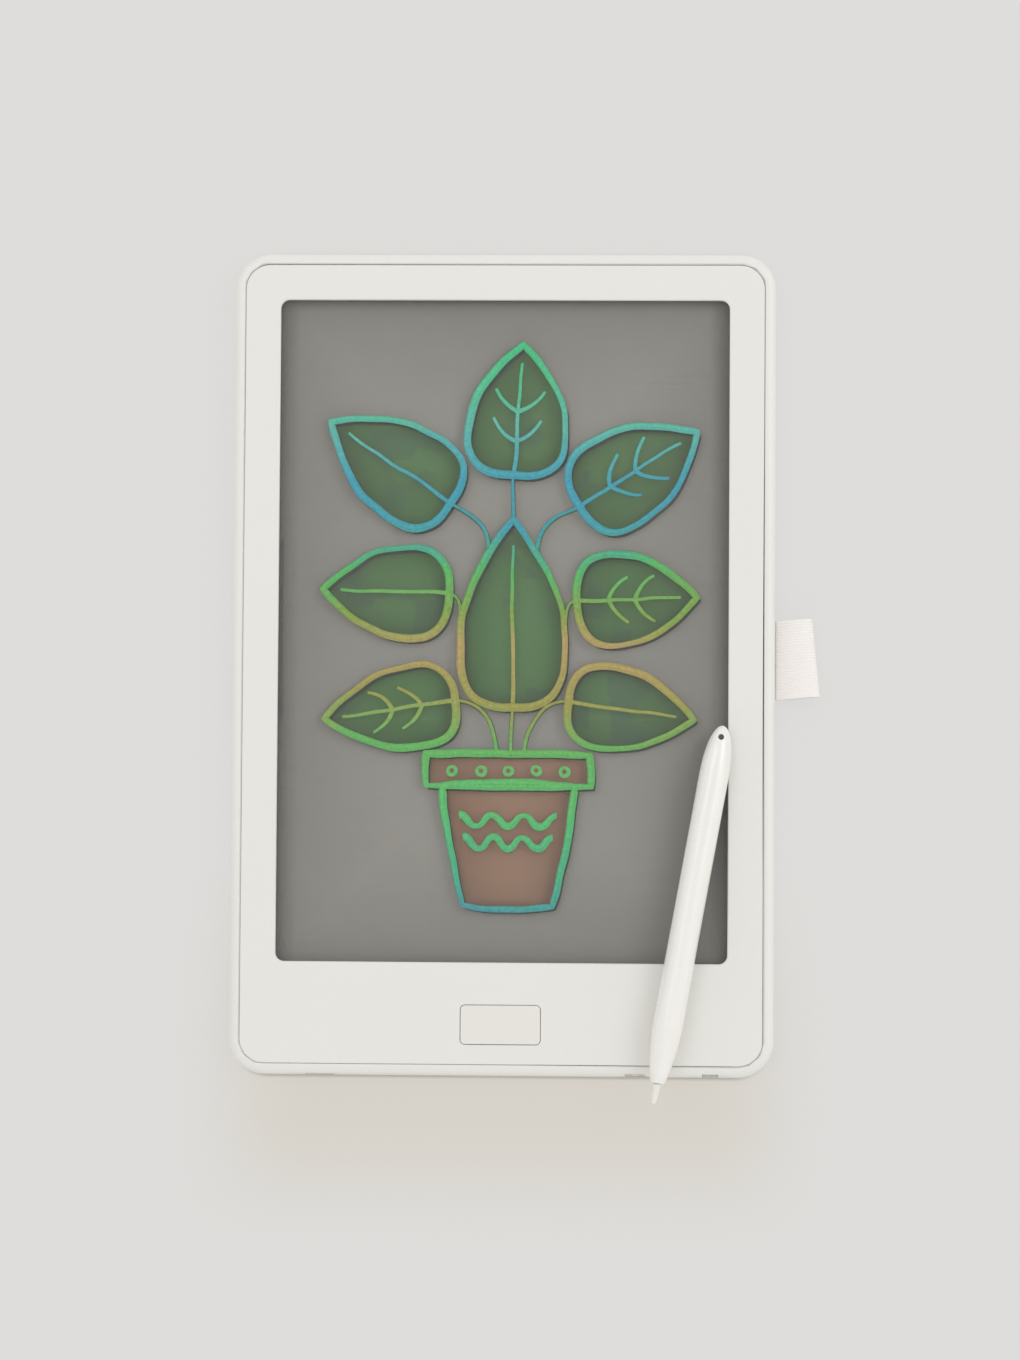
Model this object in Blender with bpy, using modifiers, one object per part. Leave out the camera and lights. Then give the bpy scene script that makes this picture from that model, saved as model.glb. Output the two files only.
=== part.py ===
"""LCD writing tablet: a flat portrait tablet with a picture card, a stylus and a ribbon pen loop.

Metres, +Z up. The tablet lies on its back, +Z out of its screen and +Y towards its top.
The origin is the centre of the flat back face.
"""

import math

import bmesh
import bpy
from mathutils import Matrix, Vector

# Driving sizes of the closed tablet
TABLET_WIDTH = 0.1726
TABLET_HEIGHT = 0.2612
TABLET_THICKNESS = 0.0082
CORNER_RADIUS = 0.0114
RIM_WIDTH = 0.0036
FRONT_ROUNDING = 0.0026
BACK_ROUNDING = 0.0030

# Walls and fits
FLOOR = 0.0018
SEAM_GAP = 0.0003
GAP = 0.0003
OVERRUN = 0.002
ROOT = 0.0004

# Window and chin
SIDE_BORDER = 0.0112
TOP_BORDER = 0.0113
CHIN_SPARE = 0.0094
WINDOW_RADIUS = 0.0028
BEZEL_THICKNESS = 0.0015
BEZEL_EDGE = 0.00015
LIP_WIDTH = 0.0003
LIP_DEPTH = 0.0003

# Display stack, from the floor up
FLOOR_RIB_HEIGHT = 0.0009
FLOOR_RIB_WIDTH = 0.0012
FLOOR_RIB_COUNT = 5
CARD_THICKNESS = 0.0004
CARD_OVERLAP = 0.0018
CARD_LEFT_OVERLAP = 0.0013
CARD_RADIUS = 0.002
PLATE_THICKNESS = 0.0015
TAPE_THICKNESS = 0.0002
FILM_THICKNESS = 0.0004
STACK_OVERLAP = 0.0028
STACK_RADIUS = 0.001
TAPE_SETBACK = 0.0005
RAIL_WIDTH = 0.0012

# Thumb notch for the card
NOTCH_LENGTH = 0.058
NOTCH_RADIUS = 0.005
NOTCH_REACH = 0.0012

# Erase button
BUTTON_WIDTH = 0.025
BUTTON_HEIGHT = 0.0121
BUTTON_RADIUS = 0.0013
BUTTON_DROP = 0.0035
BUTTON_GAP = 0.0003
BUTTON_FLANGE = 0.0012
BUTTON_FLANGE_THICKNESS = 0.0007
BUTTON_TRAVEL = 0.0005
BUTTON_EDGE = 0.0002

# Circuit board and what it carries
BOARD_THICKNESS = 0.001
BOARD_FROM_WELL = 0.0041
BOARD_FROM_RIGHT = 0.0322
BOARD_FROM_BOTTOM = 0.00415
BOARD_FROM_WINDOW = 0.00755
BOARD_RADIUS = 0.001
SWITCH_SIZE = 0.0045
SWITCH_HEIGHT = 0.0012
PLUNGER_RADIUS = 0.0011
PLUNGER_HEIGHT = 0.0012
CHIP_LENGTH = 0.005
CHIP_WIDTH = 0.004
CHIP_HEIGHT = 0.0013
CHIP_OFFSET_X = 0.0020
CHIP_OFFSET_Y = 0.0016
CHIP_LEG_COUNT = 4
CHIP_LEG_WIDTH = 0.0004
CHIP_LEG_REACH = 0.0009
CHIP_LEG_HEIGHT = 0.0005
CAPACITOR_LENGTH = 0.0016
CAPACITOR_WIDTH = 0.0009
CAPACITOR_HEIGHT = 0.0008
CAPACITOR_PITCH = 0.0032
CAPACITOR_OFFSET_X = 0.0095
CAPACITOR_FROM_EDGE = 0.00615
CAPACITOR_COUNT = 3
CONNECTOR_WIDTH = 0.009
CONNECTOR_DEPTH = 0.0028
CONNECTOR_HEIGHT = 0.0014
CONNECTOR_FROM_LEFT = 0.0110
CONNECTOR_FROM_EDGE = 0.00315
TAIL_WIDTH = 0.006
TAIL_THICKNESS = 0.0002
BOARD_SCREW_INSET = 0.0035
BOARD_BOSS_RADIUS = 0.0022

# Lock switch in the bottom edge
LOCK_FROM_RIGHT = 0.0401
LOCK_SLOT_WIDTH = 0.006
LOCK_SLOT_HEIGHT = 0.002
LOCK_SCOOP_WIDTH = 0.0093
LOCK_SCOOP_HEIGHT = 0.0036
LOCK_SCOOP_DEPTH = 0.0006
LOCK_NOTCH_WIDTH = 0.0064
LOCK_NOTCH_DEPTH = 0.0014
LOCK_NOTCH_FROM_FRONT = 0.0005
LOCK_BODY_WIDTH = 0.0072
LOCK_BODY_DEPTH = 0.0028
LOCK_BODY_HEIGHT = 0.0016
KNOB_WIDTH = 0.0015
KNOB_HEIGHT = 0.0012
KNOB_SHOE_WIDTH = 0.0030
KNOB_SHOE_DEPTH = 0.0008
KNOB_INSET = 0.0003
LOCK_TRAVEL = 0.001

# Slots and post in the bottom edge
STRAP_FROM_RIGHT = 0.0164
STRAP_SLOT_WIDTH = 0.0051
STRAP_SLOT_HEIGHT = 0.0018
STRAP_MOUTH_DEPTH = 0.0013
STRAP_MOUTH_FROM_FRONT = 0.0005
STRAP_BACK_OFFSET = 0.0080
LANYARD_FROM_LEFT = 0.0255
LANYARD_WIDTH = 0.0092
LANYARD_HEIGHT = 0.0024
LANYARD_DEPTH = 0.0026
LANYARD_FROM_FRONT = 0.0012
LANYARD_POST_RADIUS = 0.0008
LANYARD_POST_OFFSET = -0.0017
LANYARD_POST_SETBACK = 0.0010

# Battery and its door
CELL_RADIUS = 0.010
CELL_HEIGHT = 0.0025
CELL_CAP_RADIUS = 0.0086
CELL_CAP_HEIGHT = 0.0003
CELL_FROM_LEFT = 0.0313
CELL_FROM_BOTTOM = 0.0041
CELL_CLEARANCE = 0.0004
WELL_WALL = 0.001
DOOR_THICKNESS = 0.0009
DOOR_LEDGE = 0.0018
DOOR_GAP = 0.0003
DOOR_RADIUS = 0.002
DOOR_SCREW_LOBE = 0.0064
DOOR_PAD_RADIUS = 0.0030
DOOR_PAD_HEIGHT = 0.0006
DOOR_SEAT = 0.0010
DOOR_HEAD_HEIGHT = 0.0004
DOOR_GRIP_LENGTH = 0.009
DOOR_GRIP_WIDTH = 0.0007
DOOR_GRIP_DEPTH = 0.00025
DOOR_GRIP_PITCH = 0.0016
DOOR_GRIP_COUNT = 5
DOOR_GRIP_INSET = 0.0028
CONTACT_WIDTH = 0.0035
CONTACT_THICKNESS = 0.0002
CONTACT_OFFSET = 0.0036
CONTACT_FOOT = 0.0028
CONTACT_TAB = 0.0013
WELL_MOUTH = 0.0140

# Screws
SHELL_SCREW_SIDE_EDGE = 0.0067
SHELL_SCREW_EDGE = 0.0044
SHELL_SCREW_CHIN_EDGE = 0.0060
SHELL_BOSS_RADIUS = 0.0029
SHELL_BOSS_HEIGHT = 0.0017
SHELL_BOSS_WEB = 0.0018
SCREW_SHANK_RADIUS = 0.0009
SCREW_HEAD_RADIUS = 0.0018
SCREW_HEAD_HEIGHT = 0.0007
SCREW_TIP_COVER = 0.0004
DOOR_BOSS_HEIGHT = 0.0034
SMALL_SHANK_RADIUS = 0.0007
SMALL_HEAD_RADIUS = 0.0014
SMALL_HEAD_HEIGHT = 0.0005
RECESS_RADIUS = 0.0007
RECESS_DEPTH = 0.0003

# Snap tabs of the bezel
TAB_LENGTH = 0.008
TAB_THICKNESS = 0.001
TAB_DROP = 0.0020
TAB_END_INSET = 0.0272
TAB_PER_SIDE = 4

# Ribbon pen loop
RIBBON_WIDTH = 0.025
RIBBON_THICKNESS = 0.0008
LOOP_Y = 0.0012
LOOP_REACH_TOP = 0.0118
LOOP_REACH_BOTTOM = 0.0143
LOOP_HEIGHT = 0.0062
LOOP_RISE = 0.0013
RIBBON_TAIL = 0.0034
RIBBON_LAYER_GAP = 0.0001
LOOP_POINTS = 28
LOOP_ROWS = 3

# Stylus
STYLUS_LENGTH = 0.121
STYLUS_RADIUS = 0.0047
STYLUS_FROM_WINDOW_SIDE = 0.0231
STYLUS_BELOW_WINDOW = 0.04375
STYLUS_TURN_DEG = 10.2
NIB_LENGTH = 0.0068
NIB_TIP_RADIUS = 0.0008
NIB_BASE_RADIUS = 0.0013
NIB_SHANK_RADIUS = 0.0010
NIB_SHANK_LENGTH = 0.006
COLLAR_RADIUS = 0.0021
STRAIGHT_START = 0.0243
TAIL_LENGTH = 0.0165
TAIL_HOLE_RADIUS = 0.00095
TAIL_HOLE_FROM_END = 0.0038

# Shares of the sizes above, chosen by hand
BARREL_NOSE_SHARES = ((0.0, 0.0), (0.04, 0.13), (0.22, 0.43), (0.41, 0.63), (0.60, 0.79), (0.80, 0.93))
BARREL_TAIL_SHARES = (0.25, 0.5, 0.7, 0.85, 0.94, 0.985)
LOOP_FULLNESS_SHARE = 0.77

ROUND_SIDES = 32
RECESS_SIDES = 4
SMALL_SIDES = 16
CORNER_STEPS = 12
TINY_STEPS = 4
ROUNDING_STEPS = 6
MERGE = 0.00001
SMOOTH_DEG = 30.0

# Levels that several pieces share
CAVITY_HALF_X = TABLET_WIDTH / 2 - RIM_WIDTH
CAVITY_HALF_Y = TABLET_HEIGHT / 2 - RIM_WIDTH
WELL_RADIUS = CELL_RADIUS + CELL_CLEARANCE + WELL_WALL
CHIN_HEIGHT = 2 * WELL_RADIUS + CHIN_SPARE
WINDOW_TOP = CAVITY_HALF_Y - TOP_BORDER
WINDOW_BOTTOM = CHIN_HEIGHT - CAVITY_HALF_Y
WINDOW_HEIGHT = WINDOW_TOP - WINDOW_BOTTOM
WINDOW_WIDTH = 2 * (CAVITY_HALF_X - SIDE_BORDER)
WINDOW_Y = (WINDOW_TOP + WINDOW_BOTTOM) / 2
RIB_TOP = FLOOR + FLOOR_RIB_HEIGHT
CARD_Z = RIB_TOP + GAP
PLATE_Z = CARD_Z + CARD_THICKNESS + GAP
TAPE_Z = PLATE_Z + PLATE_THICKNESS + GAP
FILM_Z = TAPE_Z + TAPE_THICKNESS + GAP
BEZEL_Z = TABLET_THICKNESS - BEZEL_THICKNESS
FILM_TOP = FILM_Z + FILM_THICKNESS
STACK_HALF_X = WINDOW_WIDTH / 2 + STACK_OVERLAP
STACK_TOP = WINDOW_TOP + STACK_OVERLAP
STACK_BOTTOM = WINDOW_BOTTOM - STACK_OVERLAP
BOARD_Z = FLOOR + 2 * GAP
BOARD_TOP = BOARD_Z + BOARD_THICKNESS
PART_Z = BOARD_TOP + GAP
BUTTON_Y = WINDOW_BOTTOM - CHIN_HEIGHT / 2 - BUTTON_DROP
CELL_X = CELL_FROM_LEFT + WELL_RADIUS - CAVITY_HALF_X
CELL_Y = CELL_FROM_BOTTOM + WELL_RADIUS - CAVITY_HALF_Y
BOARD_LEFT = CELL_X + WELL_RADIUS + BOARD_FROM_WELL
BOARD_RIGHT = CAVITY_HALF_X - BOARD_FROM_RIGHT
BOARD_FRONT_EDGE = BOARD_FROM_BOTTOM - CAVITY_HALF_Y
BOARD_BACK_EDGE = WINDOW_BOTTOM - BOARD_FROM_WINDOW
BOARD_WIDTH = BOARD_RIGHT - BOARD_LEFT
BOARD_HEIGHT = BOARD_BACK_EDGE - BOARD_FRONT_EDGE
BOARD_X = (BOARD_LEFT + BOARD_RIGHT) / 2
BOARD_Y = (BOARD_BACK_EDGE + BOARD_FRONT_EDGE) / 2
CHIP_X = BOARD_X + CHIP_OFFSET_X
CHIP_Y = BOARD_Y + CHIP_OFFSET_Y
CAPACITOR_X = BOARD_X + CAPACITOR_OFFSET_X
CAPACITOR_Y = BOARD_BACK_EDGE - CAPACITOR_FROM_EDGE
CONNECTOR_X = BOARD_LEFT + CONNECTOR_FROM_LEFT
CONNECTOR_Y = BOARD_BACK_EDGE - CONNECTOR_FROM_EDGE
LOCK_X = CAVITY_HALF_X - LOCK_FROM_RIGHT
STRAP_X = CAVITY_HALF_X - STRAP_FROM_RIGHT
LANYARD_X = LANYARD_FROM_LEFT - CAVITY_HALF_X
STYLUS_TIP_X = WINDOW_WIDTH / 2 - STYLUS_FROM_WINDOW_SIDE
STYLUS_TIP_Y = WINDOW_BOTTOM - STYLUS_BELOW_WINDOW
STRAIGHT_END = STYLUS_LENGTH - TAIL_LENGTH
TAB_PITCH = (WINDOW_HEIGHT - 2 * TAB_END_INSET) / (TAB_PER_SIDE - 1)
MIDDLE_Z = TABLET_THICKNESS / 2
LOCK_Z = PART_Z + LOCK_BODY_HEIGHT / 2
SHELL_SCREW_X = CAVITY_HALF_X - SHELL_SCREW_SIDE_EDGE
SHELL_SCREW_TOP = CAVITY_HALF_Y - SHELL_SCREW_EDGE
SHELL_SCREW_BOTTOM = -CAVITY_HALF_Y + SHELL_SCREW_CHIN_EDGE
SCREW_PLACES = [
    (side * SHELL_SCREW_X, y) for side in (-1, 1) for y in (SHELL_SCREW_BOTTOM, SHELL_SCREW_TOP)
]
DOOR_SCREW_X = CELL_X - WELL_RADIUS + WELL_WALL - DOOR_LEDGE - DOOR_SCREW_LOBE / 2


def clear_scene():
    """Empty the file of its starting objects."""
    for item in list(bpy.data.objects):
        bpy.data.objects.remove(item, do_unlink=True)


def make_collection(name):
    """Add a collection to the scene."""
    group = bpy.data.collections.new(name)
    bpy.context.scene.collection.children.link(group)
    return group


def make_material(name, colour, roughness, metallic=0.0, alpha=1.0):
    """A Principled material with plain values."""
    material = bpy.data.materials.new(name)
    material.use_nodes = True
    shader = material.node_tree.nodes["Principled BSDF"]
    shader.inputs["Base Color"].default_value = (*colour, 1.0)
    shader.inputs["Roughness"].default_value = roughness
    shader.inputs["Metallic"].default_value = metallic
    shader.inputs["Alpha"].default_value = alpha
    return material


def box(bm, low, high):
    """Add a box between two corners and return its vertices."""
    size = [b - a for a, b in zip(low, high)]
    centre = [(a + b) / 2 for a, b in zip(low, high)]
    matrix = Matrix.Translation(centre) @ Matrix.Diagonal((*size, 1.0))
    return bmesh.ops.create_cube(bm, size=1.0, matrix=matrix)["verts"]


def centred_box(bm, centre, size):
    """Add a box about a centre."""
    low = [c - s / 2 for c, s in zip(centre, size)]
    high = [c + s / 2 for c, s in zip(centre, size)]
    return box(bm, low, high)


def edges_within(verts):
    """The edges whose two ends are both among some vertices."""
    chosen = set(verts)
    return [e for e in {e for v in verts for e in v.link_edges} if set(e.verts) <= chosen]


def bevel(bm, edges, width, steps):
    """Round some edges and return the vertices that this made."""
    made = bmesh.ops.bevel(
        bm, geom=edges, offset=width, offset_type="OFFSET", segments=steps, profile=0.5,
        affect="EDGES", material=-1, clamp_overlap=False,
    )
    return made["verts"]


def slab(bm, low, high, radius, steps=TINY_STEPS):
    """Add a box whose upright edges are rounded, and return its faces' vertices."""
    before = set(bm.verts)
    verts = box(bm, low, high)
    upright = [e for e in edges_within(verts) if abs(e.verts[0].co.z - e.verts[1].co.z) > MERGE]
    if radius > 0:
        bevel(bm, upright, radius, steps)
    return [v for v in bm.verts if v not in before]


def level_edges(verts, z):
    """The edges that lie round a slab at one height."""
    return [e for e in edges_within(verts) if all(abs(v.co.z - z) < MERGE for v in e.verts)]


def post(bm, x, y, radius, z_low, z_high, sides=ROUND_SIDES, top_radius=None):
    """Add an upright cylinder or cone."""
    matrix = Matrix.Translation((x, y, (z_low + z_high) / 2))
    bmesh.ops.create_cone(
        bm, cap_ends=True, cap_tris=False, segments=sides, radius1=radius,
        radius2=radius if top_radius is None else top_radius, depth=z_high - z_low, matrix=matrix,
    )


def grow_outline(verts, centre, half_x, half_y, radius, growth):
    """Move a rounded outline's corner points outwards by one distance."""
    for vert in verts:
        side_x = math.copysign(1.0, vert.co.x - centre[0])
        side_y = math.copysign(1.0, vert.co.y - centre[1])
        corner_x = centre[0] + side_x * (half_x - radius)
        corner_y = centre[1] + side_y * (half_y - radius)
        vert.co.x += (vert.co.x - corner_x) * growth / radius
        vert.co.y += (vert.co.y - corner_y) * growth / radius


def finish_mesh(name, bm):
    """Turn a bmesh into mesh data with its faces pointing out."""
    bmesh.ops.recalc_face_normals(bm, faces=bm.faces)
    data = bpy.data.meshes.new(name)
    bm.to_mesh(data)
    bm.free()
    return data


class Bench:
    """Keeps the collections and materials, and makes the named objects."""

    def __init__(self):
        """Make the collections and the materials."""
        self.parts = make_collection("lcd_writing_tablet")
        self.cutters = make_collection("cutters")
        self.shell = make_material("white_plastic", (0.76, 0.75, 0.70), 0.42)
        self.film = make_material("lcd_grey", (0.25, 0.24, 0.22), 0.30)
        self.clear = make_material("clear_plastic", (0.85, 0.87, 0.87), 0.08, alpha=0.35)
        self.card = make_material("printed_card", (0.30, 0.42, 0.28), 0.55)
        self.tape = make_material("foam_tape", (0.05, 0.05, 0.05), 0.85)
        self.board = make_material("green_board", (0.02, 0.16, 0.07), 0.45)
        self.black = make_material("black_plastic", (0.02, 0.02, 0.02), 0.50)
        self.steel = make_material("bright_steel", (0.62, 0.62, 0.60), 0.28, 1.0)
        self.amber = make_material("amber_film", (0.55, 0.27, 0.06), 0.35)
        self.ceramic = make_material("tan_ceramic", (0.42, 0.30, 0.18), 0.50)
        self.ribbon = make_material("cream_ribbon", (0.81, 0.76, 0.71), 0.90)
        self.warm = make_material("warm_white_plastic", (0.78, 0.77, 0.72), 0.38)

    def add(self, name, bm, material):
        """Add one part's object from a bmesh."""
        item = bpy.data.objects.new(name, finish_mesh(name, bm))
        item.data.materials.append(material)
        self.parts.objects.link(item)
        return item

    def apply_shape(self, item, name, bm, operation):
        """Join a bmesh's solids to an object, or cut them from it."""
        tool = bpy.data.objects.new(name, finish_mesh(name, bm))
        tool.hide_render = True
        tool.display_type = "WIRE"
        self.cutters.objects.link(tool)
        modifier = item.modifiers.new(name, "BOOLEAN")
        modifier.operation = operation
        modifier.solver = "EXACT"
        modifier.use_self = True
        modifier.object = tool

    def join(self, item, name, bm):
        """Join solids to an object."""
        self.apply_shape(item, name, bm, "UNION")

    def cut(self, item, name, bm):
        """Cut solids from an object."""
        self.apply_shape(item, name, bm, "DIFFERENCE")


def smooth(item):
    """Shade round pieces smooth, with their real edges kept sharp."""
    item.data.shade_smooth()
    item.data.set_sharp_from_angle(angle=math.radians(SMOOTH_DEG))


def shell_blank():
    """The shell's outer block with its rounded corners, front and back edges."""
    bm = bmesh.new()
    half_x, half_y = TABLET_WIDTH / 2, TABLET_HEIGHT / 2
    verts = slab(
        bm, (-half_x, -half_y, 0), (half_x, half_y, TABLET_THICKNESS), CORNER_RADIUS, CORNER_STEPS
    )
    bevel(bm, level_edges(verts, TABLET_THICKNESS), FRONT_ROUNDING, ROUNDING_STEPS)
    bevel(bm, level_edges(list(bm.verts), 0), BACK_ROUNDING, ROUNDING_STEPS)
    return bm


def shell_hollow():
    """The room for the bezel and the display, cut from the front."""
    bm = bmesh.new()
    slab(
        bm, (-CAVITY_HALF_X, -CAVITY_HALF_Y, FLOOR),
        (CAVITY_HALF_X, CAVITY_HALF_Y, TABLET_THICKNESS + OVERRUN),
        CORNER_RADIUS - RIM_WIDTH, CORNER_STEPS,
    )
    return bm


def card_slot():
    """The slot through the left wall that the card slides through."""
    bm = bmesh.new()
    low = (-TABLET_WIDTH / 2 - OVERRUN, WINDOW_BOTTOM - CARD_OVERLAP - 2 * GAP, RIB_TOP)
    high = (-CAVITY_HALF_X + OVERRUN, WINDOW_TOP + CARD_OVERLAP + 2 * GAP, PLATE_Z)
    box(bm, low, high)
    return bm


def thumb_notch():
    """The notch in the back, at the left edge, where a thumb moves the card."""
    bm = bmesh.new()
    low = (-TABLET_WIDTH / 2 - NOTCH_RADIUS - OVERRUN, WINDOW_Y - NOTCH_LENGTH / 2, -OVERRUN)
    high = (-WINDOW_WIDTH / 2 + NOTCH_REACH, WINDOW_Y + NOTCH_LENGTH / 2, CARD_Z)
    slab(bm, low, high, NOTCH_RADIUS)
    return bm


def ribbon_slot():
    """The slot through the right wall that the ribbon's two ends pass through."""
    bm = bmesh.new()
    depth = TABLET_WIDTH / 2 - CAVITY_HALF_X + 2 * OVERRUN
    height = 2 * RIBBON_THICKNESS + RIBBON_LAYER_GAP + 2 * GAP
    centre = (CAVITY_HALF_X + depth / 2 - OVERRUN, LOOP_Y, MIDDLE_Z)
    centred_box(bm, centre, (depth, RIBBON_WIDTH + 2 * GAP, height))
    return bm


def bottom_edge_cuts():
    """The lock switch's scoop, notch and slot, the strap's slot and the lanyard's pocket."""
    bm = bmesh.new()
    edge = -TABLET_HEIGHT / 2
    scoop_size = (LOCK_SCOOP_WIDTH, 2 * LOCK_SCOOP_DEPTH, LOCK_SCOOP_HEIGHT)
    centred_box(bm, (LOCK_X, edge, LOCK_Z), scoop_size)
    notch_low = LOCK_Z - LOCK_SCOOP_HEIGHT / 2
    strap_low = MIDDLE_Z - STRAP_SLOT_HEIGHT / 2
    lanyard_low = MIDDLE_Z - LANYARD_HEIGHT / 2
    for x, width, depth, low, from_front in (
        (LOCK_X, LOCK_NOTCH_WIDTH, LOCK_NOTCH_DEPTH, notch_low, LOCK_NOTCH_FROM_FRONT),
        (STRAP_X, STRAP_SLOT_WIDTH, STRAP_MOUTH_DEPTH, strap_low, STRAP_MOUTH_FROM_FRONT),
        (LANYARD_X, LANYARD_WIDTH, LANYARD_DEPTH, lanyard_low, LANYARD_FROM_FRONT),
    ):
        top = TABLET_THICKNESS - from_front
        box(bm, (x - width / 2, edge - depth, low), (x + width / 2, edge + depth, top))
    wall_middle = edge + RIM_WIDTH / 2
    through = RIM_WIDTH + 2 * OVERRUN
    centred_box(bm, (LOCK_X, wall_middle, LOCK_Z), (LOCK_SLOT_WIDTH, through, LOCK_SLOT_HEIGHT))
    centred_box(bm, (STRAP_X, wall_middle, MIDDLE_Z), (STRAP_SLOT_WIDTH, through, STRAP_SLOT_HEIGHT))
    centred_box(
        bm, (STRAP_X, edge + STRAP_BACK_OFFSET, FLOOR / 2),
        (STRAP_SLOT_WIDTH, STRAP_SLOT_HEIGHT, FLOOR + 2 * OVERRUN),
    )
    return bm


def floor_ribs(bm):
    """The low ribs that the card slides on, and the rail round its three closed sides."""
    rib_left = -WINDOW_WIDTH / 2 + NOTCH_REACH + NOTCH_RADIUS
    rib_right = STACK_HALF_X - RAIL_WIDTH / 2
    inner_half = WINDOW_HEIGHT / 2 - CARD_OVERLAP
    pitch = 2 * inner_half / (FLOOR_RIB_COUNT - 1)
    for index in range(FLOOR_RIB_COUNT):
        y = WINDOW_Y - inner_half + index * pitch
        low = (rib_left, y - FLOOR_RIB_WIDTH / 2, FLOOR - ROOT)
        box(bm, low, (rib_right, y + FLOOR_RIB_WIDTH / 2, RIB_TOP))


def card_rail(bm):
    """The raised rail beside the card, which the clear plate lies on."""
    rail_top = PLATE_Z - GAP
    card_top = WINDOW_TOP + CARD_OVERLAP + 2 * GAP
    card_bottom = WINDOW_BOTTOM - CARD_OVERLAP - 2 * GAP
    card_right = WINDOW_WIDTH / 2 + CARD_OVERLAP + 2 * GAP
    base = FLOOR - ROOT
    left = -STACK_HALF_X
    box(bm, (left, card_top, base), (card_right, card_top + RAIL_WIDTH, rail_top))
    box(bm, (left, card_bottom - RAIL_WIDTH, base), (card_right, card_bottom, rail_top))
    box(
        bm, (card_right - ROOT, card_bottom - RAIL_WIDTH, base),
        (card_right + RAIL_WIDTH, card_top + RAIL_WIDTH, rail_top),
    )


def shell_bosses(bm):
    """The posts for the screws, the board and the ribbon, and the lanyard's pin."""
    base = FLOOR - ROOT
    for x, y in SCREW_PLACES:
        post(bm, x, y, SHELL_BOSS_RADIUS, base, FLOOR + SHELL_BOSS_HEIGHT)
    for x, y in board_screw_places():
        post(bm, x, y, BOARD_BOSS_RADIUS, base, BOARD_Z - GAP, SMALL_SIDES)
    post(bm, DOOR_SCREW_X, CELL_Y, BOARD_BOSS_RADIUS, base, FLOOR + DOOR_BOSS_HEIGHT)
    stack = RIBBON_THICKNESS + RIBBON_LAYER_GAP / 2 + GAP
    low = (CAVITY_HALF_X - RIBBON_TAIL, LOOP_Y - RIBBON_WIDTH / 2, base)
    box(bm, low, (CAVITY_HALF_X + ROOT, LOOP_Y + RIBBON_WIDTH / 2, MIDDLE_Z - stack))
    pin_y = -TABLET_HEIGHT / 2 + LANYARD_POST_SETBACK
    pin_low = MIDDLE_Z - LANYARD_HEIGHT / 2 - ROOT
    pin_high = TABLET_THICKNESS - LANYARD_FROM_FRONT + ROOT
    pin_x = LANYARD_X + LANYARD_POST_OFFSET
    post(bm, pin_x, pin_y, LANYARD_POST_RADIUS, pin_low, pin_high, SMALL_SIDES)


def battery_well(bm):
    """The round wall that holds the cell, without its mouth for the contacts."""
    top = DOOR_THICKNESS + GAP + CELL_HEIGHT
    post(bm, CELL_X, CELL_Y, WELL_RADIUS, FLOOR - ROOT, top, 2 * ROUND_SIDES)


def battery_cuts():
    """The door's recess, the cell's hole and the holes round the door's screw."""
    bm = bmesh.new()
    inner = CELL_RADIUS + CELL_CLEARANCE
    post(bm, CELL_X, CELL_Y, inner, -OVERRUN, FLOOR + CELL_HEIGHT + OVERRUN, 2 * ROUND_SIDES)
    low, high = door_corners(DOOR_GAP)
    slab(bm, (*low, -OVERRUN), (*high, DOOR_THICKNESS + GAP), DOOR_RADIUS + DOOR_GAP)
    pad = DOOR_PAD_RADIUS + GAP
    post(bm, DOOR_SCREW_X, CELL_Y, pad, -OVERRUN, DOOR_THICKNESS + DOOR_PAD_HEIGHT + GAP)
    hole = SCREW_SHANK_RADIUS + GAP
    post(bm, DOOR_SCREW_X, CELL_Y, hole, -OVERRUN, FLOOR + DOOR_BOSS_HEIGHT - ROOT, SMALL_SIDES)
    mouth_left = CELL_X + CELL_RADIUS / 2
    top = FLOOR + CELL_HEIGHT + OVERRUN
    box(
        bm, (mouth_left, CELL_Y - WELL_MOUTH / 2, FLOOR),
        (CELL_X + WELL_RADIUS + ROOT, CELL_Y + WELL_MOUTH / 2, top),
    )
    return bm


def door_corners(growth):
    """The low and high corners of the door's outline in plan, grown by a gap."""
    half = CELL_RADIUS + CELL_CLEARANCE + DOOR_LEDGE
    low = (CELL_X - half - DOOR_SCREW_LOBE - growth, CELL_Y - half - growth)
    high = (CELL_X + half + growth, CELL_Y + half + growth)
    return low, high


def board_screw_places():
    """Where the two screws hold the board."""
    inset_x = BOARD_WIDTH / 2 - BOARD_SCREW_INSET
    inset_y = BOARD_HEIGHT / 2 - BOARD_SCREW_INSET
    return [(BOARD_X - inset_x, BOARD_Y - inset_y), (BOARD_X + inset_x, BOARD_Y + inset_y)]


def shell_screw_holes():
    """The holes and counterbores for the shell's and the board's screws."""
    bm = bmesh.new()
    web_low = FLOOR + SHELL_BOSS_HEIGHT - SHELL_BOSS_WEB
    for x, y in SCREW_PLACES:
        post(bm, x, y, SCREW_HEAD_RADIUS + GAP, -OVERRUN, web_low)
        post(bm, x, y, SCREW_SHANK_RADIUS + GAP, -OVERRUN, FLOOR + SHELL_BOSS_HEIGHT + OVERRUN)
    for x, y in board_screw_places():
        post(bm, x, y, SMALL_SHANK_RADIUS + GAP, FLOOR / 2, BOARD_TOP, SMALL_SIDES)
    return bm


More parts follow.
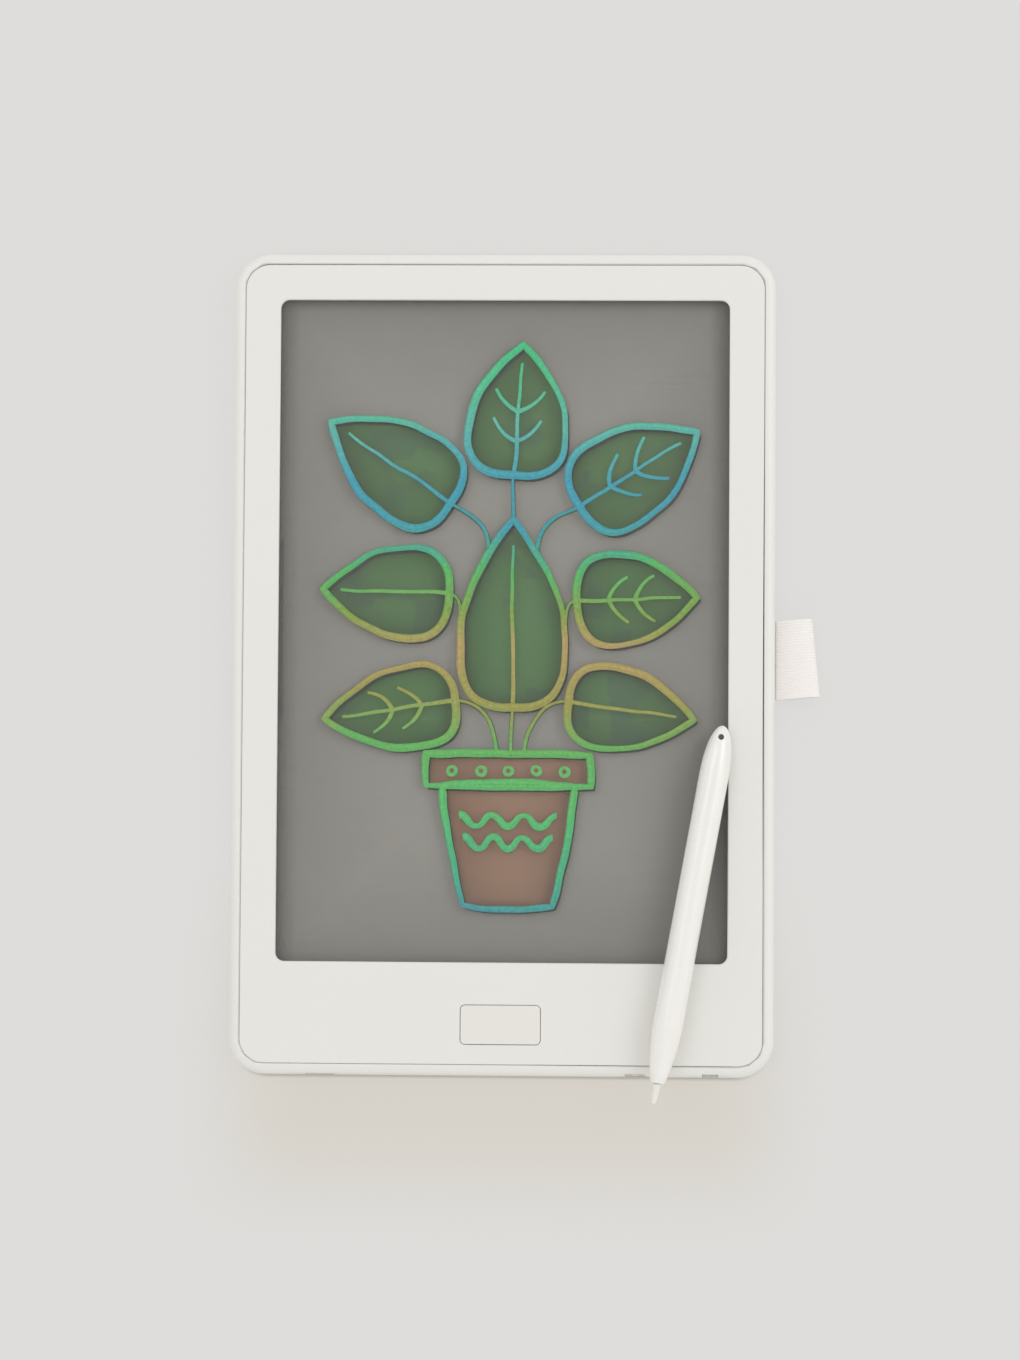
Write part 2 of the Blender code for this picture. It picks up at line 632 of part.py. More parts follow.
def make_rear_shell(bench):
    """The back cover: a tray with a rounded rim, open to the front."""
    shell = bench.add("rear_shell", shell_blank(), bench.shell)
    bench.cut(shell, "shell_hollow", shell_hollow())
    features = bmesh.new()
    floor_ribs(features)
    card_rail(features)
    battery_well(features)
    bench.join(shell, "shell_ribs", features)
    bench.cut(shell, "edge_cuts", bottom_edge_cuts())
    bosses = bmesh.new()
    shell_bosses(bosses)
    bench.join(shell, "shell_bosses", bosses)
    bench.cut(shell, "card_slot", card_slot())
    bench.cut(shell, "thumb_notch", thumb_notch())
    bench.cut(shell, "ribbon_slot", ribbon_slot())
    bench.cut(shell, "battery_cuts", battery_cuts())
    bench.cut(shell, "shell_screw_holes", shell_screw_holes())
    smooth(shell)


def bezel_blank():
    """The flat front frame, before its window."""
    bm = bmesh.new()
    half_x, half_y = CAVITY_HALF_X - SEAM_GAP, CAVITY_HALF_Y - SEAM_GAP
    radius = CORNER_RADIUS - RIM_WIDTH - SEAM_GAP
    verts = slab(bm, (-half_x, -half_y, BEZEL_Z), (half_x, half_y, TABLET_THICKNESS), radius, CORNER_STEPS)
    bevel(bm, level_edges(verts, TABLET_THICKNESS), BEZEL_EDGE, 1)
    return bm


def window_cutter():
    """The window with its sloping lip."""
    bm = bmesh.new()
    half_x, half_y = WINDOW_WIDTH / 2, WINDOW_HEIGHT / 2
    slab(
        bm, (-half_x, WINDOW_BOTTOM, BEZEL_Z - OVERRUN), (half_x, WINDOW_TOP, TABLET_THICKNESS),
        WINDOW_RADIUS, CORNER_STEPS,
    )
    lip_low = TABLET_THICKNESS - LIP_DEPTH
    lip_high = TABLET_THICKNESS + LIP_DEPTH
    verts = slab(
        bm, (-half_x, WINDOW_BOTTOM, lip_low), (half_x, WINDOW_TOP, lip_high),
        WINDOW_RADIUS, CORNER_STEPS,
    )
    upper = [v for v in verts if v.co.z > TABLET_THICKNESS]
    centre = (0, WINDOW_Y)
    grow_outline(upper, centre, half_x, half_y, WINDOW_RADIUS, 2 * LIP_WIDTH)
    return bm


def bezel_underside():
    """The screw posts, snap tabs and ribbon bar under the bezel."""
    bm = bmesh.new()
    post_low = FLOOR + SHELL_BOSS_HEIGHT + GAP
    for x, y in SCREW_PLACES:
        post(bm, x, y, SHELL_BOSS_RADIUS - GAP, post_low, BEZEL_Z + ROOT)
    face = CAVITY_HALF_X - SEAM_GAP
    for side in (-1, 1):
        for index in range(TAB_PER_SIDE):
            y = WINDOW_Y + (index - (TAB_PER_SIDE - 1) / 2) * TAB_PITCH
            x = side * (face - TAB_THICKNESS / 2)
            centred_box(
                bm, (x, y, BEZEL_Z - TAB_DROP / 2 + ROOT / 2),
                (TAB_THICKNESS, TAB_LENGTH, TAB_DROP + ROOT),
            )
    stack = RIBBON_THICKNESS + RIBBON_LAYER_GAP / 2 + GAP
    low = (CAVITY_HALF_X - RIBBON_TAIL, LOOP_Y - RIBBON_WIDTH / 2, MIDDLE_Z + stack)
    box(bm, low, (face - TAB_THICKNESS - GAP, LOOP_Y + RIBBON_WIDTH / 2, BEZEL_Z + ROOT))
    return bm


def make_front_bezel(bench):
    """The front frame round the window, with the erase button's hole."""
    bezel = bench.add("front_bezel", bezel_blank(), bench.shell)
    bench.cut(bezel, "window", window_cutter())
    bench.join(bezel, "bezel_underside", bezel_underside())
    holes = bmesh.new()
    half_x = BUTTON_WIDTH / 2 + BUTTON_GAP
    half_y = BUTTON_HEIGHT / 2 + BUTTON_GAP
    slab(
        holes, (-half_x, BUTTON_Y - half_y, BEZEL_Z - OVERRUN),
        (half_x, BUTTON_Y + half_y, TABLET_THICKNESS + OVERRUN), BUTTON_RADIUS + BUTTON_GAP,
    )
    screw_top = BEZEL_Z - GAP
    for x, y in SCREW_PLACES:
        post(holes, x, y, SCREW_SHANK_RADIUS + GAP, FLOOR, screw_top, SMALL_SIDES)
    bench.cut(bezel, "bezel_holes", holes)
    smooth(bezel)


def make_display(bench):
    """The card, the clear plate, the tape and the LCD film, from the back to the front."""
    card = bmesh.new()
    left = -WINDOW_WIDTH / 2 - CARD_LEFT_OVERLAP
    right = WINDOW_WIDTH / 2 + CARD_OVERLAP
    low = (left, WINDOW_BOTTOM - CARD_OVERLAP, CARD_Z)
    slab(card, low, (right, WINDOW_TOP + CARD_OVERLAP, CARD_Z + CARD_THICKNESS), CARD_RADIUS)
    card_object = bench.add("picture_card", card, bench.card)
    notch = bmesh.new()
    low = (left - OVERRUN, WINDOW_Y - NOTCH_LENGTH / 2, CARD_Z - OVERRUN)
    high = (-WINDOW_WIDTH / 2 + NOTCH_REACH, WINDOW_Y + NOTCH_LENGTH / 2, PLATE_Z + OVERRUN)
    slab(notch, low, high, NOTCH_REACH)
    bench.cut(card_object, "card_notch", notch)

    for name, z, thickness, material in (
        ("support_plate", PLATE_Z, PLATE_THICKNESS, bench.clear),
        ("tape_frame", TAPE_Z, TAPE_THICKNESS, bench.tape),
        ("lcd_film", FILM_Z, FILM_THICKNESS, bench.film),
    ):
        layer = bmesh.new()
        low = (-STACK_HALF_X, STACK_BOTTOM, z)
        slab(layer, low, (STACK_HALF_X, STACK_TOP, z + thickness), STACK_RADIUS)
        item = bench.add(name, layer, material)
        if name == "tape_frame":
            hole = bmesh.new()
            half_x = WINDOW_WIDTH / 2 + TAPE_SETBACK
            slab(
                hole, (-half_x, WINDOW_BOTTOM - TAPE_SETBACK, z - OVERRUN),
                (half_x, WINDOW_TOP + TAPE_SETBACK, z + OVERRUN), WINDOW_RADIUS,
            )
            bench.cut(item, "tape_hole", hole)


def strip(bench, name, path, width, thickness, y_centre, material, along_x):
    """A bent strip of even thickness: a path in X or Y against Z, drawn out sideways."""
    bm = bmesh.new()
    columns = []
    for run, z in path:
        row = []
        for side in (-1, 1):
            across = y_centre + side * width / 2
            point = (run, across, z) if along_x else (across, run, z)
            row.append(bm.verts.new(point))
        columns.append(row)
    for first, second in zip(columns, columns[1:]):
        bm.faces.new((first[0], first[1], second[1], second[0]))
    item = bench.add(name, bm, material)
    sheet = item.modifiers.new("thickness", "SOLIDIFY")
    sheet.thickness = thickness
    sheet.offset = 0
    sheet.use_even_offset = True
    return item


def make_lcd_tail(bench):
    """The film's flat lead, from its lower edge down to the connector."""
    start_y = STACK_BOTTOM - GAP
    end_y = CONNECTOR_Y + CONNECTOR_DEPTH / 2 + GAP
    film_middle = FILM_Z + FILM_THICKNESS / 2
    plug_z = PART_Z + CONNECTOR_HEIGHT / 2
    third = (start_y - end_y) / 3
    path = [(start_y, film_middle), (start_y - third, film_middle)]
    path += [(end_y + third, plug_z), (end_y, plug_z)]
    strip(bench, "lcd_tail", path, TAIL_WIDTH, TAIL_THICKNESS, CONNECTOR_X, bench.amber, False)


def make_erase_button(bench):
    """The wide button cap, with a flange under the bezel that keeps it in."""
    cap = bmesh.new()
    half_x, half_y = BUTTON_WIDTH / 2, BUTTON_HEIGHT / 2
    flange_low = BEZEL_Z - GAP - BUTTON_FLANGE_THICKNESS
    low = (-half_x, BUTTON_Y - half_y, flange_low + BUTTON_FLANGE_THICKNESS / 2)
    verts = slab(cap, low, (half_x, BUTTON_Y + half_y, TABLET_THICKNESS), BUTTON_RADIUS, CORNER_STEPS)
    bevel(cap, level_edges(verts, TABLET_THICKNESS), BUTTON_EDGE, 2)
    button = bench.add("erase_button", cap, bench.shell)
    flange = bmesh.new()
    reach_x, reach_y = half_x + BUTTON_FLANGE, half_y + BUTTON_FLANGE
    slab(
        flange, (-reach_x, BUTTON_Y - reach_y, flange_low),
        (reach_x, BUTTON_Y + reach_y, BEZEL_Z - GAP), BUTTON_RADIUS,
    )
    bench.join(button, "button_flange", flange)
    smooth(button)


def make_tact_switch(bench):
    """The push switch under the button, and its plunger."""
    body = bmesh.new()
    half = SWITCH_SIZE / 2
    slab(
        body, (-half, BUTTON_Y - half, PART_Z), (half, BUTTON_Y + half, PART_Z + SWITCH_HEIGHT),
        BOARD_RADIUS / 2, 1,
    )
    switch = bench.add("tact_switch_body", body, bench.black)
    bore = bmesh.new()
    post(bore, 0, BUTTON_Y, PLUNGER_RADIUS + GAP, PART_Z - OVERRUN, PART_Z + SWITCH_HEIGHT + OVERRUN)
    bench.cut(switch, "switch_bore", bore)
    top = BEZEL_Z - GAP - BUTTON_FLANGE_THICKNESS - GAP
    plunger = bmesh.new()
    post(plunger, 0, BUTTON_Y, PLUNGER_RADIUS, top - PLUNGER_HEIGHT, top)
    smooth(bench.add("tact_plunger", plunger, bench.steel))


def make_lock_switch(bench):
    """The slide switch on the board's edge, and the knob that shows in the bottom edge."""
    wall = -CAVITY_HALF_Y
    body_low = wall + GAP
    body = bmesh.new()
    centre = (LOCK_X, body_low + LOCK_BODY_DEPTH / 2, LOCK_Z)
    centred_box(body, centre, (LOCK_BODY_WIDTH, LOCK_BODY_DEPTH, LOCK_BODY_HEIGHT))
    switch = bench.add("slide_switch_body", body, bench.steel)
    channel = bmesh.new()
    reach = KNOB_SHOE_WIDTH + 2 * (LOCK_TRAVEL + GAP)
    depth = KNOB_SHOE_DEPTH + 2 * GAP
    centre = (LOCK_X, body_low, LOCK_Z)
    centred_box(channel, centre, (reach, 2 * depth, KNOB_HEIGHT + GAP))
    bench.cut(switch, "switch_channel", channel)

    knob = bmesh.new()
    outer = -TABLET_HEIGHT / 2 + KNOB_INSET
    inner = body_low + KNOB_SHOE_DEPTH
    low = (LOCK_X - KNOB_WIDTH / 2, outer, LOCK_Z - KNOB_HEIGHT / 2 + GAP / 2)
    box(knob, low, (LOCK_X + KNOB_WIDTH / 2, inner, LOCK_Z + KNOB_HEIGHT / 2 - GAP / 2))
    slider = bench.add("lock_slider", knob, bench.warm)
    shoe = bmesh.new()
    centre = (LOCK_X, (body_low + inner) / 2, LOCK_Z)
    centred_box(shoe, centre, (KNOB_SHOE_WIDTH, inner - body_low, KNOB_HEIGHT - GAP))
    bench.join(slider, "knob_shoe", shoe)


def make_board(bench):
    """The circuit board, with its two screw holes."""
    blank = bmesh.new()
    half_x, half_y = BOARD_WIDTH / 2, BOARD_HEIGHT / 2
    low = (BOARD_X - half_x, BOARD_Y - half_y, BOARD_Z)
    slab(blank, low, (BOARD_X + half_x, BOARD_Y + half_y, BOARD_TOP), BOARD_RADIUS)
    board = bench.add("circuit_board", blank, bench.board)
    holes = bmesh.new()
    for x, y in board_screw_places():
        post(holes, x, y, SMALL_SHANK_RADIUS + GAP, BOARD_Z - OVERRUN, BOARD_TOP + OVERRUN, SMALL_SIDES)
    bench.cut(board, "board_holes", holes)


def make_board_parts(bench):
    """The control chip, the small capacitors and the film's connector."""
    chip_body = bmesh.new()
    centre = (CHIP_X, CHIP_Y, PART_Z + CHIP_HEIGHT / 2)
    centred_box(chip_body, centre, (CHIP_LENGTH, CHIP_WIDTH, CHIP_HEIGHT))
    chip = bench.add("control_chip", chip_body, bench.black)
    legs = bmesh.new()
    pitch = CHIP_LENGTH / CHIP_LEG_COUNT
    for index in range(CHIP_LEG_COUNT):
        x = CHIP_X + (index - (CHIP_LEG_COUNT - 1) / 2) * pitch
        centre = (x, CHIP_Y, PART_Z + CHIP_LEG_HEIGHT / 2)
        centred_box(legs, centre, (CHIP_LEG_WIDTH, CHIP_WIDTH + 2 * CHIP_LEG_REACH, CHIP_LEG_HEIGHT))
    bench.join(chip, "chip_legs", legs)

    for index in range(CAPACITOR_COUNT):
        brick = bmesh.new()
        x = CAPACITOR_X + index * CAPACITOR_PITCH
        centre = (x, CAPACITOR_Y, PART_Z + CAPACITOR_HEIGHT / 2)
        centred_box(brick, centre, (CAPACITOR_LENGTH, CAPACITOR_WIDTH, CAPACITOR_HEIGHT))
        bench.add(f"chip_capacitor_{index + 1}", brick, bench.ceramic)

    housing = bmesh.new()
    centre = (CONNECTOR_X, CONNECTOR_Y, PART_Z + CONNECTOR_HEIGHT / 2)
    verts = centred_box(housing, centre, (CONNECTOR_WIDTH, CONNECTOR_DEPTH, CONNECTOR_HEIGHT))
    bevel(housing, level_edges(verts, PART_Z + CONNECTOR_HEIGHT), CAPACITOR_HEIGHT / 4, 1)
    bench.add("tail_connector", housing, bench.warm)


def turned(bench, name, profile, sides, material):
    """A turned piece: a profile at +X, run top to bottom, swept round Z."""
    bm = bmesh.new()
    verts = [bm.verts.new((radius, 0, z)) for radius, z in profile]
    for first, second in zip(verts, verts[1:]):
        bm.edges.new((first, second))
    data = bpy.data.meshes.new(name)
    bm.to_mesh(data)
    bm.free()
    item = bpy.data.objects.new(name, data)
    item.data.materials.append(material)
    bench.parts.objects.link(item)
    screw = item.modifiers.new("turn", "SCREW")
    screw.axis = "Z"
    screw.steps = sides
    screw.render_steps = sides
    screw.use_merge_vertices = True
    screw.merge_threshold = MERGE
    screw.use_smooth_shade = True
    return item


def make_coin_cell(bench):
    """The coin cell, with its smaller cap towards the board."""
    low = DOOR_THICKNESS + GAP
    high = low + CELL_HEIGHT
    step = CELL_CAP_HEIGHT
    profile = [
        (0, high), (CELL_CAP_RADIUS, high), (CELL_CAP_RADIUS, high - step),
        (CELL_RADIUS - step, high - step), (CELL_RADIUS, high - 2 * step),
        (CELL_RADIUS, low + step), (CELL_RADIUS - step, low), (0, low),
    ]
    cell = turned(bench, "coin_cell", profile, 2 * ROUND_SIDES, bench.steel)
    cell.location = (CELL_X, CELL_Y, 0)


def make_contacts(bench):
    """The two spring strips that run from the cell to the board."""
    half_sheet = CONTACT_THICKNESS / 2
    board_edge = BOARD_LEFT
    foot_z = BOARD_TOP + GAP + half_sheet
    cap_z = DOOR_THICKNESS + 2 * GAP + CELL_HEIGHT + half_sheet
    end = board_edge + CONTACT_FOOT
    reach = CELL_X + CELL_CAP_RADIUS / 4
    path = [(reach, cap_z), (CELL_X + CELL_RADIUS, cap_z), (board_edge, foot_z), (end, foot_z)]
    strip(
        bench, "negative_contact", path, CONTACT_WIDTH, CONTACT_THICKNESS,
        CELL_Y + CONTACT_OFFSET, bench.steel, True,
    )
    near = CONTACT_OFFSET - CONTACT_WIDTH / 2
    side_x = CELL_X + math.sqrt(CELL_RADIUS**2 - near**2) + GAP + half_sheet
    path = [(side_x, foot_z - CONTACT_TAB), (side_x, foot_z), (end, foot_z)]
    strip(
        bench, "positive_contact", path, CONTACT_WIDTH, CONTACT_THICKNESS,
        CELL_Y - CONTACT_OFFSET, bench.steel, True,
    )


def make_battery_door(bench):
    """The battery's cover in the back face, flush with it."""
    plate = bmesh.new()
    low, high = door_corners(0)
    slab(plate, (*low, 0), (*high, DOOR_THICKNESS), DOOR_RADIUS)
    door = bench.add("battery_door", plate, bench.shell)
    pad = bmesh.new()
    post(pad, DOOR_SCREW_X, CELL_Y, DOOR_PAD_RADIUS, DOOR_THICKNESS / 2, DOOR_THICKNESS + DOOR_PAD_HEIGHT)
    bench.join(door, "door_pad", pad)
    holes = bmesh.new()
    post(holes, DOOR_SCREW_X, CELL_Y, SCREW_HEAD_RADIUS + GAP, -OVERRUN, DOOR_SEAT)
    hole = SCREW_SHANK_RADIUS + GAP
    post(holes, DOOR_SCREW_X, CELL_Y, hole, -OVERRUN, DOOR_THICKNESS + OVERRUN, SMALL_SIDES)
    for index in range(DOOR_GRIP_COUNT):
        x = high[0] - DOOR_GRIP_INSET - index * DOOR_GRIP_PITCH
        size = (DOOR_GRIP_WIDTH, DOOR_GRIP_LENGTH, 2 * DOOR_GRIP_DEPTH)
        centred_box(holes, (x, CELL_Y, 0), size)
    bench.cut(door, "door_holes", holes)


def screw_profile(face, inner, tip, head, shank):
    """A screw's outline from its top to its bottom, whichever way it points."""
    outline = [(0, face), (head, face), (head, inner), (shank, inner), (shank, tip), (0, tip)]
    return outline if face > tip else outline[::-1]


def make_screw(bench, name, place, tip, head, shank):
    """One screw: a turned head and shank, with a driver's recess in its face."""
    x, y, face = place
    radius, height = head
    up = 1 if tip > face else -1
    profile = screw_profile(face, face + up * height, tip, radius, shank)
    item = turned(bench, name, profile, SMALL_SIDES, bench.steel)
    item.location = (x, y, 0)
    recess = bmesh.new()
    ends = (face - up * OVERRUN, face + up * RECESS_DEPTH)
    post(recess, x, y, RECESS_RADIUS, min(ends), max(ends), RECESS_SIDES)
    bench.cut(item, name + "_recess", recess)


def make_screws(bench):
    """The four shell screws, the door's screw and the board's two screws."""
    web_low = FLOOR + SHELL_BOSS_HEIGHT - SHELL_BOSS_WEB
    big_head = (SCREW_HEAD_RADIUS, SCREW_HEAD_HEIGHT)
    face = web_low - GAP - SCREW_HEAD_HEIGHT
    tip = BEZEL_Z - GAP - SCREW_TIP_COVER
    for index, (x, y) in enumerate(SCREW_PLACES, start=1):
        name = f"shell_screw_{index}"
        make_screw(bench, name, (x, y, face), tip, big_head, SCREW_SHANK_RADIUS)

    door_head = (SCREW_HEAD_RADIUS, DOOR_HEAD_HEIGHT)
    door_face = DOOR_SEAT - GAP - DOOR_HEAD_HEIGHT
    door_tip = FLOOR + DOOR_BOSS_HEIGHT - SCREW_TIP_COVER - GAP
    place = (DOOR_SCREW_X, CELL_Y, door_face)
    make_screw(bench, "door_screw", place, door_tip, door_head, SCREW_SHANK_RADIUS)

    small_head = (SMALL_HEAD_RADIUS, SMALL_HEAD_HEIGHT)
    board_face = BOARD_TOP + GAP + SMALL_HEAD_HEIGHT
    board_tip = FLOOR / 2 + GAP
    for index, (x, y) in enumerate(board_screw_places(), start=1):
        name = f"board_screw_{index}"
        make_screw(bench, name, (x, y, board_face), board_tip, small_head, SMALL_SHANK_RADIUS)


def loop_profile(reach):
    """The ribbon's middle line in X and Z: in one tail, round the loop, out the other."""
    start_x = TABLET_WIDTH / 2
    layer = (RIBBON_THICKNESS + RIBBON_LAYER_GAP) / 2
    tail_x = CAVITY_HALF_X - RIBBON_TAIL + GAP
    points = [(tail_x, MIDDLE_Z + layer)]
    for index in range(LOOP_POINTS + 1):
        turn = 2 * math.pi * index / LOOP_POINTS
        fullness = math.sin(turn) * math.sin(turn / 2) / LOOP_FULLNESS_SHARE
        x = start_x + reach * (1 - math.cos(turn)) / 2
        swell = (LOOP_HEIGHT / 2) * fullness
        points.append((x, MIDDLE_Z + layer * math.cos(turn / 2) + swell))
    points.append((tail_x, MIDDLE_Z - layer))
    return points


def make_pen_loop(bench):
    """The ribbon loop at the right edge: one band whose two ends lie in the shell's slot."""
    bm = bmesh.new()
    rows = []
    half_thickness = RIBBON_THICKNESS / 2
    for step in range(LOOP_ROWS):
        across = step / (LOOP_ROWS - 1)
        middle_reach = LOOP_REACH_BOTTOM + (LOOP_REACH_TOP - LOOP_REACH_BOTTOM) * across
        reach = middle_reach - half_thickness
        y = LOOP_Y + (across - 1 / 2) * RIBBON_WIDTH
        row = []
        for x, z in loop_profile(reach):
            out = max(x - TABLET_WIDTH / 2, 0)
            lift = LOOP_RISE * out / LOOP_REACH_BOTTOM
            row.append(bm.verts.new((x, y + lift, z)))
        rows.append(row)
    for low_row, high_row in zip(rows, rows[1:]):
        for index in range(len(low_row) - 1):
            corners = (low_row[index], low_row[index + 1], high_row[index + 1], high_row[index])
            bm.faces.new(corners)
    loop = bench.add("pen_loop", bm, bench.ribbon)
    sheet = loop.modifiers.new("thickness", "SOLIDIFY")
    sheet.thickness = RIBBON_THICKNESS
    sheet.offset = 0
    sheet.use_even_offset = True
    smooth(loop)


def barrel_profile():
    """The barrel's outline and its nib bore, from the tail down to the collar and back up."""
    tail = STYLUS_LENGTH - STRAIGHT_END
    profile = [(0, STYLUS_LENGTH)]
    for share in reversed(BARREL_TAIL_SHARES):
        radius = STYLUS_RADIUS * math.sqrt(1 - share**2.2)
        profile.append((radius, STRAIGHT_END + tail * share))
    profile += [(STYLUS_RADIUS, STRAIGHT_END), (STYLUS_RADIUS, STRAIGHT_START)]
    nose = STRAIGHT_START - NIB_LENGTH
    swell = STYLUS_RADIUS - COLLAR_RADIUS
    for along, out in reversed(BARREL_NOSE_SHARES):
        profile.append((COLLAR_RADIUS + swell * out, NIB_LENGTH + nose * along))
    bore = NIB_SHANK_RADIUS + GAP
    bore_end = NIB_LENGTH + NIB_SHANK_LENGTH + GAP
    profile += [(bore, NIB_LENGTH), (bore, bore_end), (0, bore_end)]
    return profile


def nib_profile():
    """The nib's shank, shoulder, cone and rounded tip."""
    shoulder = NIB_LENGTH - GAP
    cut = NIB_TIP_RADIUS * (1 - math.sqrt(1 / 2))
    return [
        (0, NIB_LENGTH + NIB_SHANK_LENGTH), (NIB_SHANK_RADIUS, NIB_LENGTH + NIB_SHANK_LENGTH),
        (NIB_SHANK_RADIUS, shoulder), (NIB_BASE_RADIUS, shoulder),
        (NIB_TIP_RADIUS, NIB_TIP_RADIUS), (NIB_TIP_RADIUS * math.sqrt(1 / 2), cut), (0, 0),
    ]


def stylus_matrix():
    """The stylus lies on the window's lower edge and on the film, its tip past the tablet."""
    turn = math.radians(STYLUS_TURN_DEG)
    edge_along = (WINDOW_BOTTOM - LIP_WIDTH - STYLUS_TIP_Y) / math.cos(turn)
    recess = TABLET_THICKNESS - FILM_TOP
    dip = math.atan2(recess, STRAIGHT_END - edge_along)
    forward = Vector((math.sin(turn) * math.cos(dip), math.cos(turn) * math.cos(dip), -math.sin(dip)))
    sideways = Vector((math.cos(turn), -math.sin(turn), 0))
    upward = forward.cross(sideways)
    edge_height = TABLET_THICKNESS + (GAP + STYLUS_RADIUS) / math.cos(dip)
    tip_z = edge_height + edge_along * math.tan(dip)
    matrix = Matrix((sideways, upward, forward)).transposed().to_4x4()
    matrix.translation = (STYLUS_TIP_X, STYLUS_TIP_Y, tip_z)
    return matrix


def make_stylus(bench):
    """The stylus: its hollow-nosed barrel and the nib pressed into it."""
    matrix = stylus_matrix()
    barrel = turned(bench, "stylus_barrel", barrel_profile(), ROUND_SIDES, bench.warm)
    barrel.matrix_world = matrix
    hole = bmesh.new()
    depth = 2 * STYLUS_RADIUS + 2 * OVERRUN
    place = matrix @ Matrix.Translation((0, 0, STYLUS_LENGTH - TAIL_HOLE_FROM_END))
    place = place @ Matrix.Rotation(math.pi / 2, 4, "X")
    bmesh.ops.create_cone(
        hole, cap_ends=True, cap_tris=False, segments=SMALL_SIDES, radius1=TAIL_HOLE_RADIUS,
        radius2=TAIL_HOLE_RADIUS, depth=depth, matrix=place,
    )
    bench.cut(barrel, "tail_hole", hole)
    nib = turned(bench, "stylus_nib", nib_profile(), SMALL_SIDES, bench.warm)
    nib.matrix_world = matrix


def main():
    """Build the tablet, from its back to its front, and then the stylus."""
    clear_scene()
    bench = Bench()
    make_rear_shell(bench)
    make_battery_door(bench)
    make_coin_cell(bench)
    make_board(bench)
    make_contacts(bench)
    make_board_parts(bench)
    make_tact_switch(bench)
    make_lock_switch(bench)
    make_screws(bench)
    make_pen_loop(bench)
    make_display(bench)
    make_lcd_tail(bench)
    make_erase_button(bench)
    make_front_bezel(bench)
    make_stylus(bench)


main()
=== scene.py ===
"""Visual model of an LCD writing tablet: tablet, picture card, ribbon pen loop and stylus.

Every length is in metres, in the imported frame: +Z out of the screen and +Y towards the top.
"""

import logging
import math
from collections.abc import Callable, Iterable, Sequence
from dataclasses import dataclass
from enum import Enum
from functools import cached_property
from typing import Any, ClassVar

import bmesh
import bpy
from mathutils import Matrix, Vector, noise


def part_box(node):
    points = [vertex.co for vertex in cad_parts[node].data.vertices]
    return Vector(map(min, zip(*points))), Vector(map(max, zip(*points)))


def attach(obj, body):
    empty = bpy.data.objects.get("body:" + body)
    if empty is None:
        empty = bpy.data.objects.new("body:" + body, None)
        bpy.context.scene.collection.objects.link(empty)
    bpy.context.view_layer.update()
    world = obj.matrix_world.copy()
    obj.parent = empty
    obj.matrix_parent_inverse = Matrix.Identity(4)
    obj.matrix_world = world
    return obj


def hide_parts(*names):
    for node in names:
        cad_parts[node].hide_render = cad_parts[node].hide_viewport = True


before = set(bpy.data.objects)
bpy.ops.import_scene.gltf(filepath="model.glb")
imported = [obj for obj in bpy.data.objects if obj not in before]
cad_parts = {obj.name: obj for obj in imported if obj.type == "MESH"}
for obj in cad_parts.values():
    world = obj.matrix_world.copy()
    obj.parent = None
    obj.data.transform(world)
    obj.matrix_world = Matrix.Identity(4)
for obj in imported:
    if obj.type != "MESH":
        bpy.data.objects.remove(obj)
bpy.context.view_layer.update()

LOG = logging.getLogger("lcd_writing_tablet")

MM = 0.001
WELD = 0.000002
SMOOTH_ANGLE = math.radians(30.0)
HALF = 0.5
NOISE_SEED = 1
SEAM_GAP = 0.3 * MM
BEZEL_CORNER = 7.5 * MM
WEAVE = "weave"

Colour = tuple[float, float, float]
# Places along a seam and how far it is closed there, in millimetres.
Seam = tuple[tuple[float, float], ...]


class Body(Enum):
    """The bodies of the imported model."""

    TABLET = "tablet"
    BUTTON = "button"
    SLIDER = "slider"
    CARD = "card"
    STYLUS = "stylus"


class Slot(Enum):
    """The material slots of the record."""

    WHITE_PLASTIC = "white_plastic"
    WARM_PLASTIC = "warm_white_plastic"
    FILM = "lcd_film"
    CARD = "printed_card"
    RIBBON = "cream_ribbon"


def painted(*levels: int) -> Colour:
    """A paint chart's red, green and blue, each 0 to 255, in linear light."""
    shares = (level / 255 for level in levels)
    return tuple(s / 12.92 if s <= 0.04045 else ((s + 0.055) / 1.055) ** 2.4 for s in shares)


WHITE = painted(229, 228, 223)
PAPER = painted(222, 221, 219)
LINE_BANDS = tuple((place, painted(*levels)) for place, levels in (
    (0.00, (84, 160, 172)), (0.06, (86, 184, 146)), (0.16, (100, 196, 124)),
    (0.30, (112, 188, 104)), (0.38, (166, 164, 92)), (0.47, (190, 166, 110)),
    (0.53, (140, 172, 84)), (0.61, (98, 190, 112)), (0.68, (78, 168, 180)),
    (0.76, (76, 166, 188)), (0.85, (104, 190, 176)), (0.93, (92, 200, 152)),
    (1.00, (84, 200, 140)),
))


def arithmetic(operation: str, swapped: bool = False) -> Callable[..., "Socket"]:
    """A Socket method that puts the socket and any other value through a Math node.

    Args:
        operation: The Math node's operation.
        swapped: Whether the other value comes first.

    Returns:
        The method.
    """
    def method(self: "Socket", *other: Any) -> "Socket":
        """The Math node's result."""
        values = (*other, self) if swapped else (self, *other)
        return self.graph.maths(operation, *values)

    return method


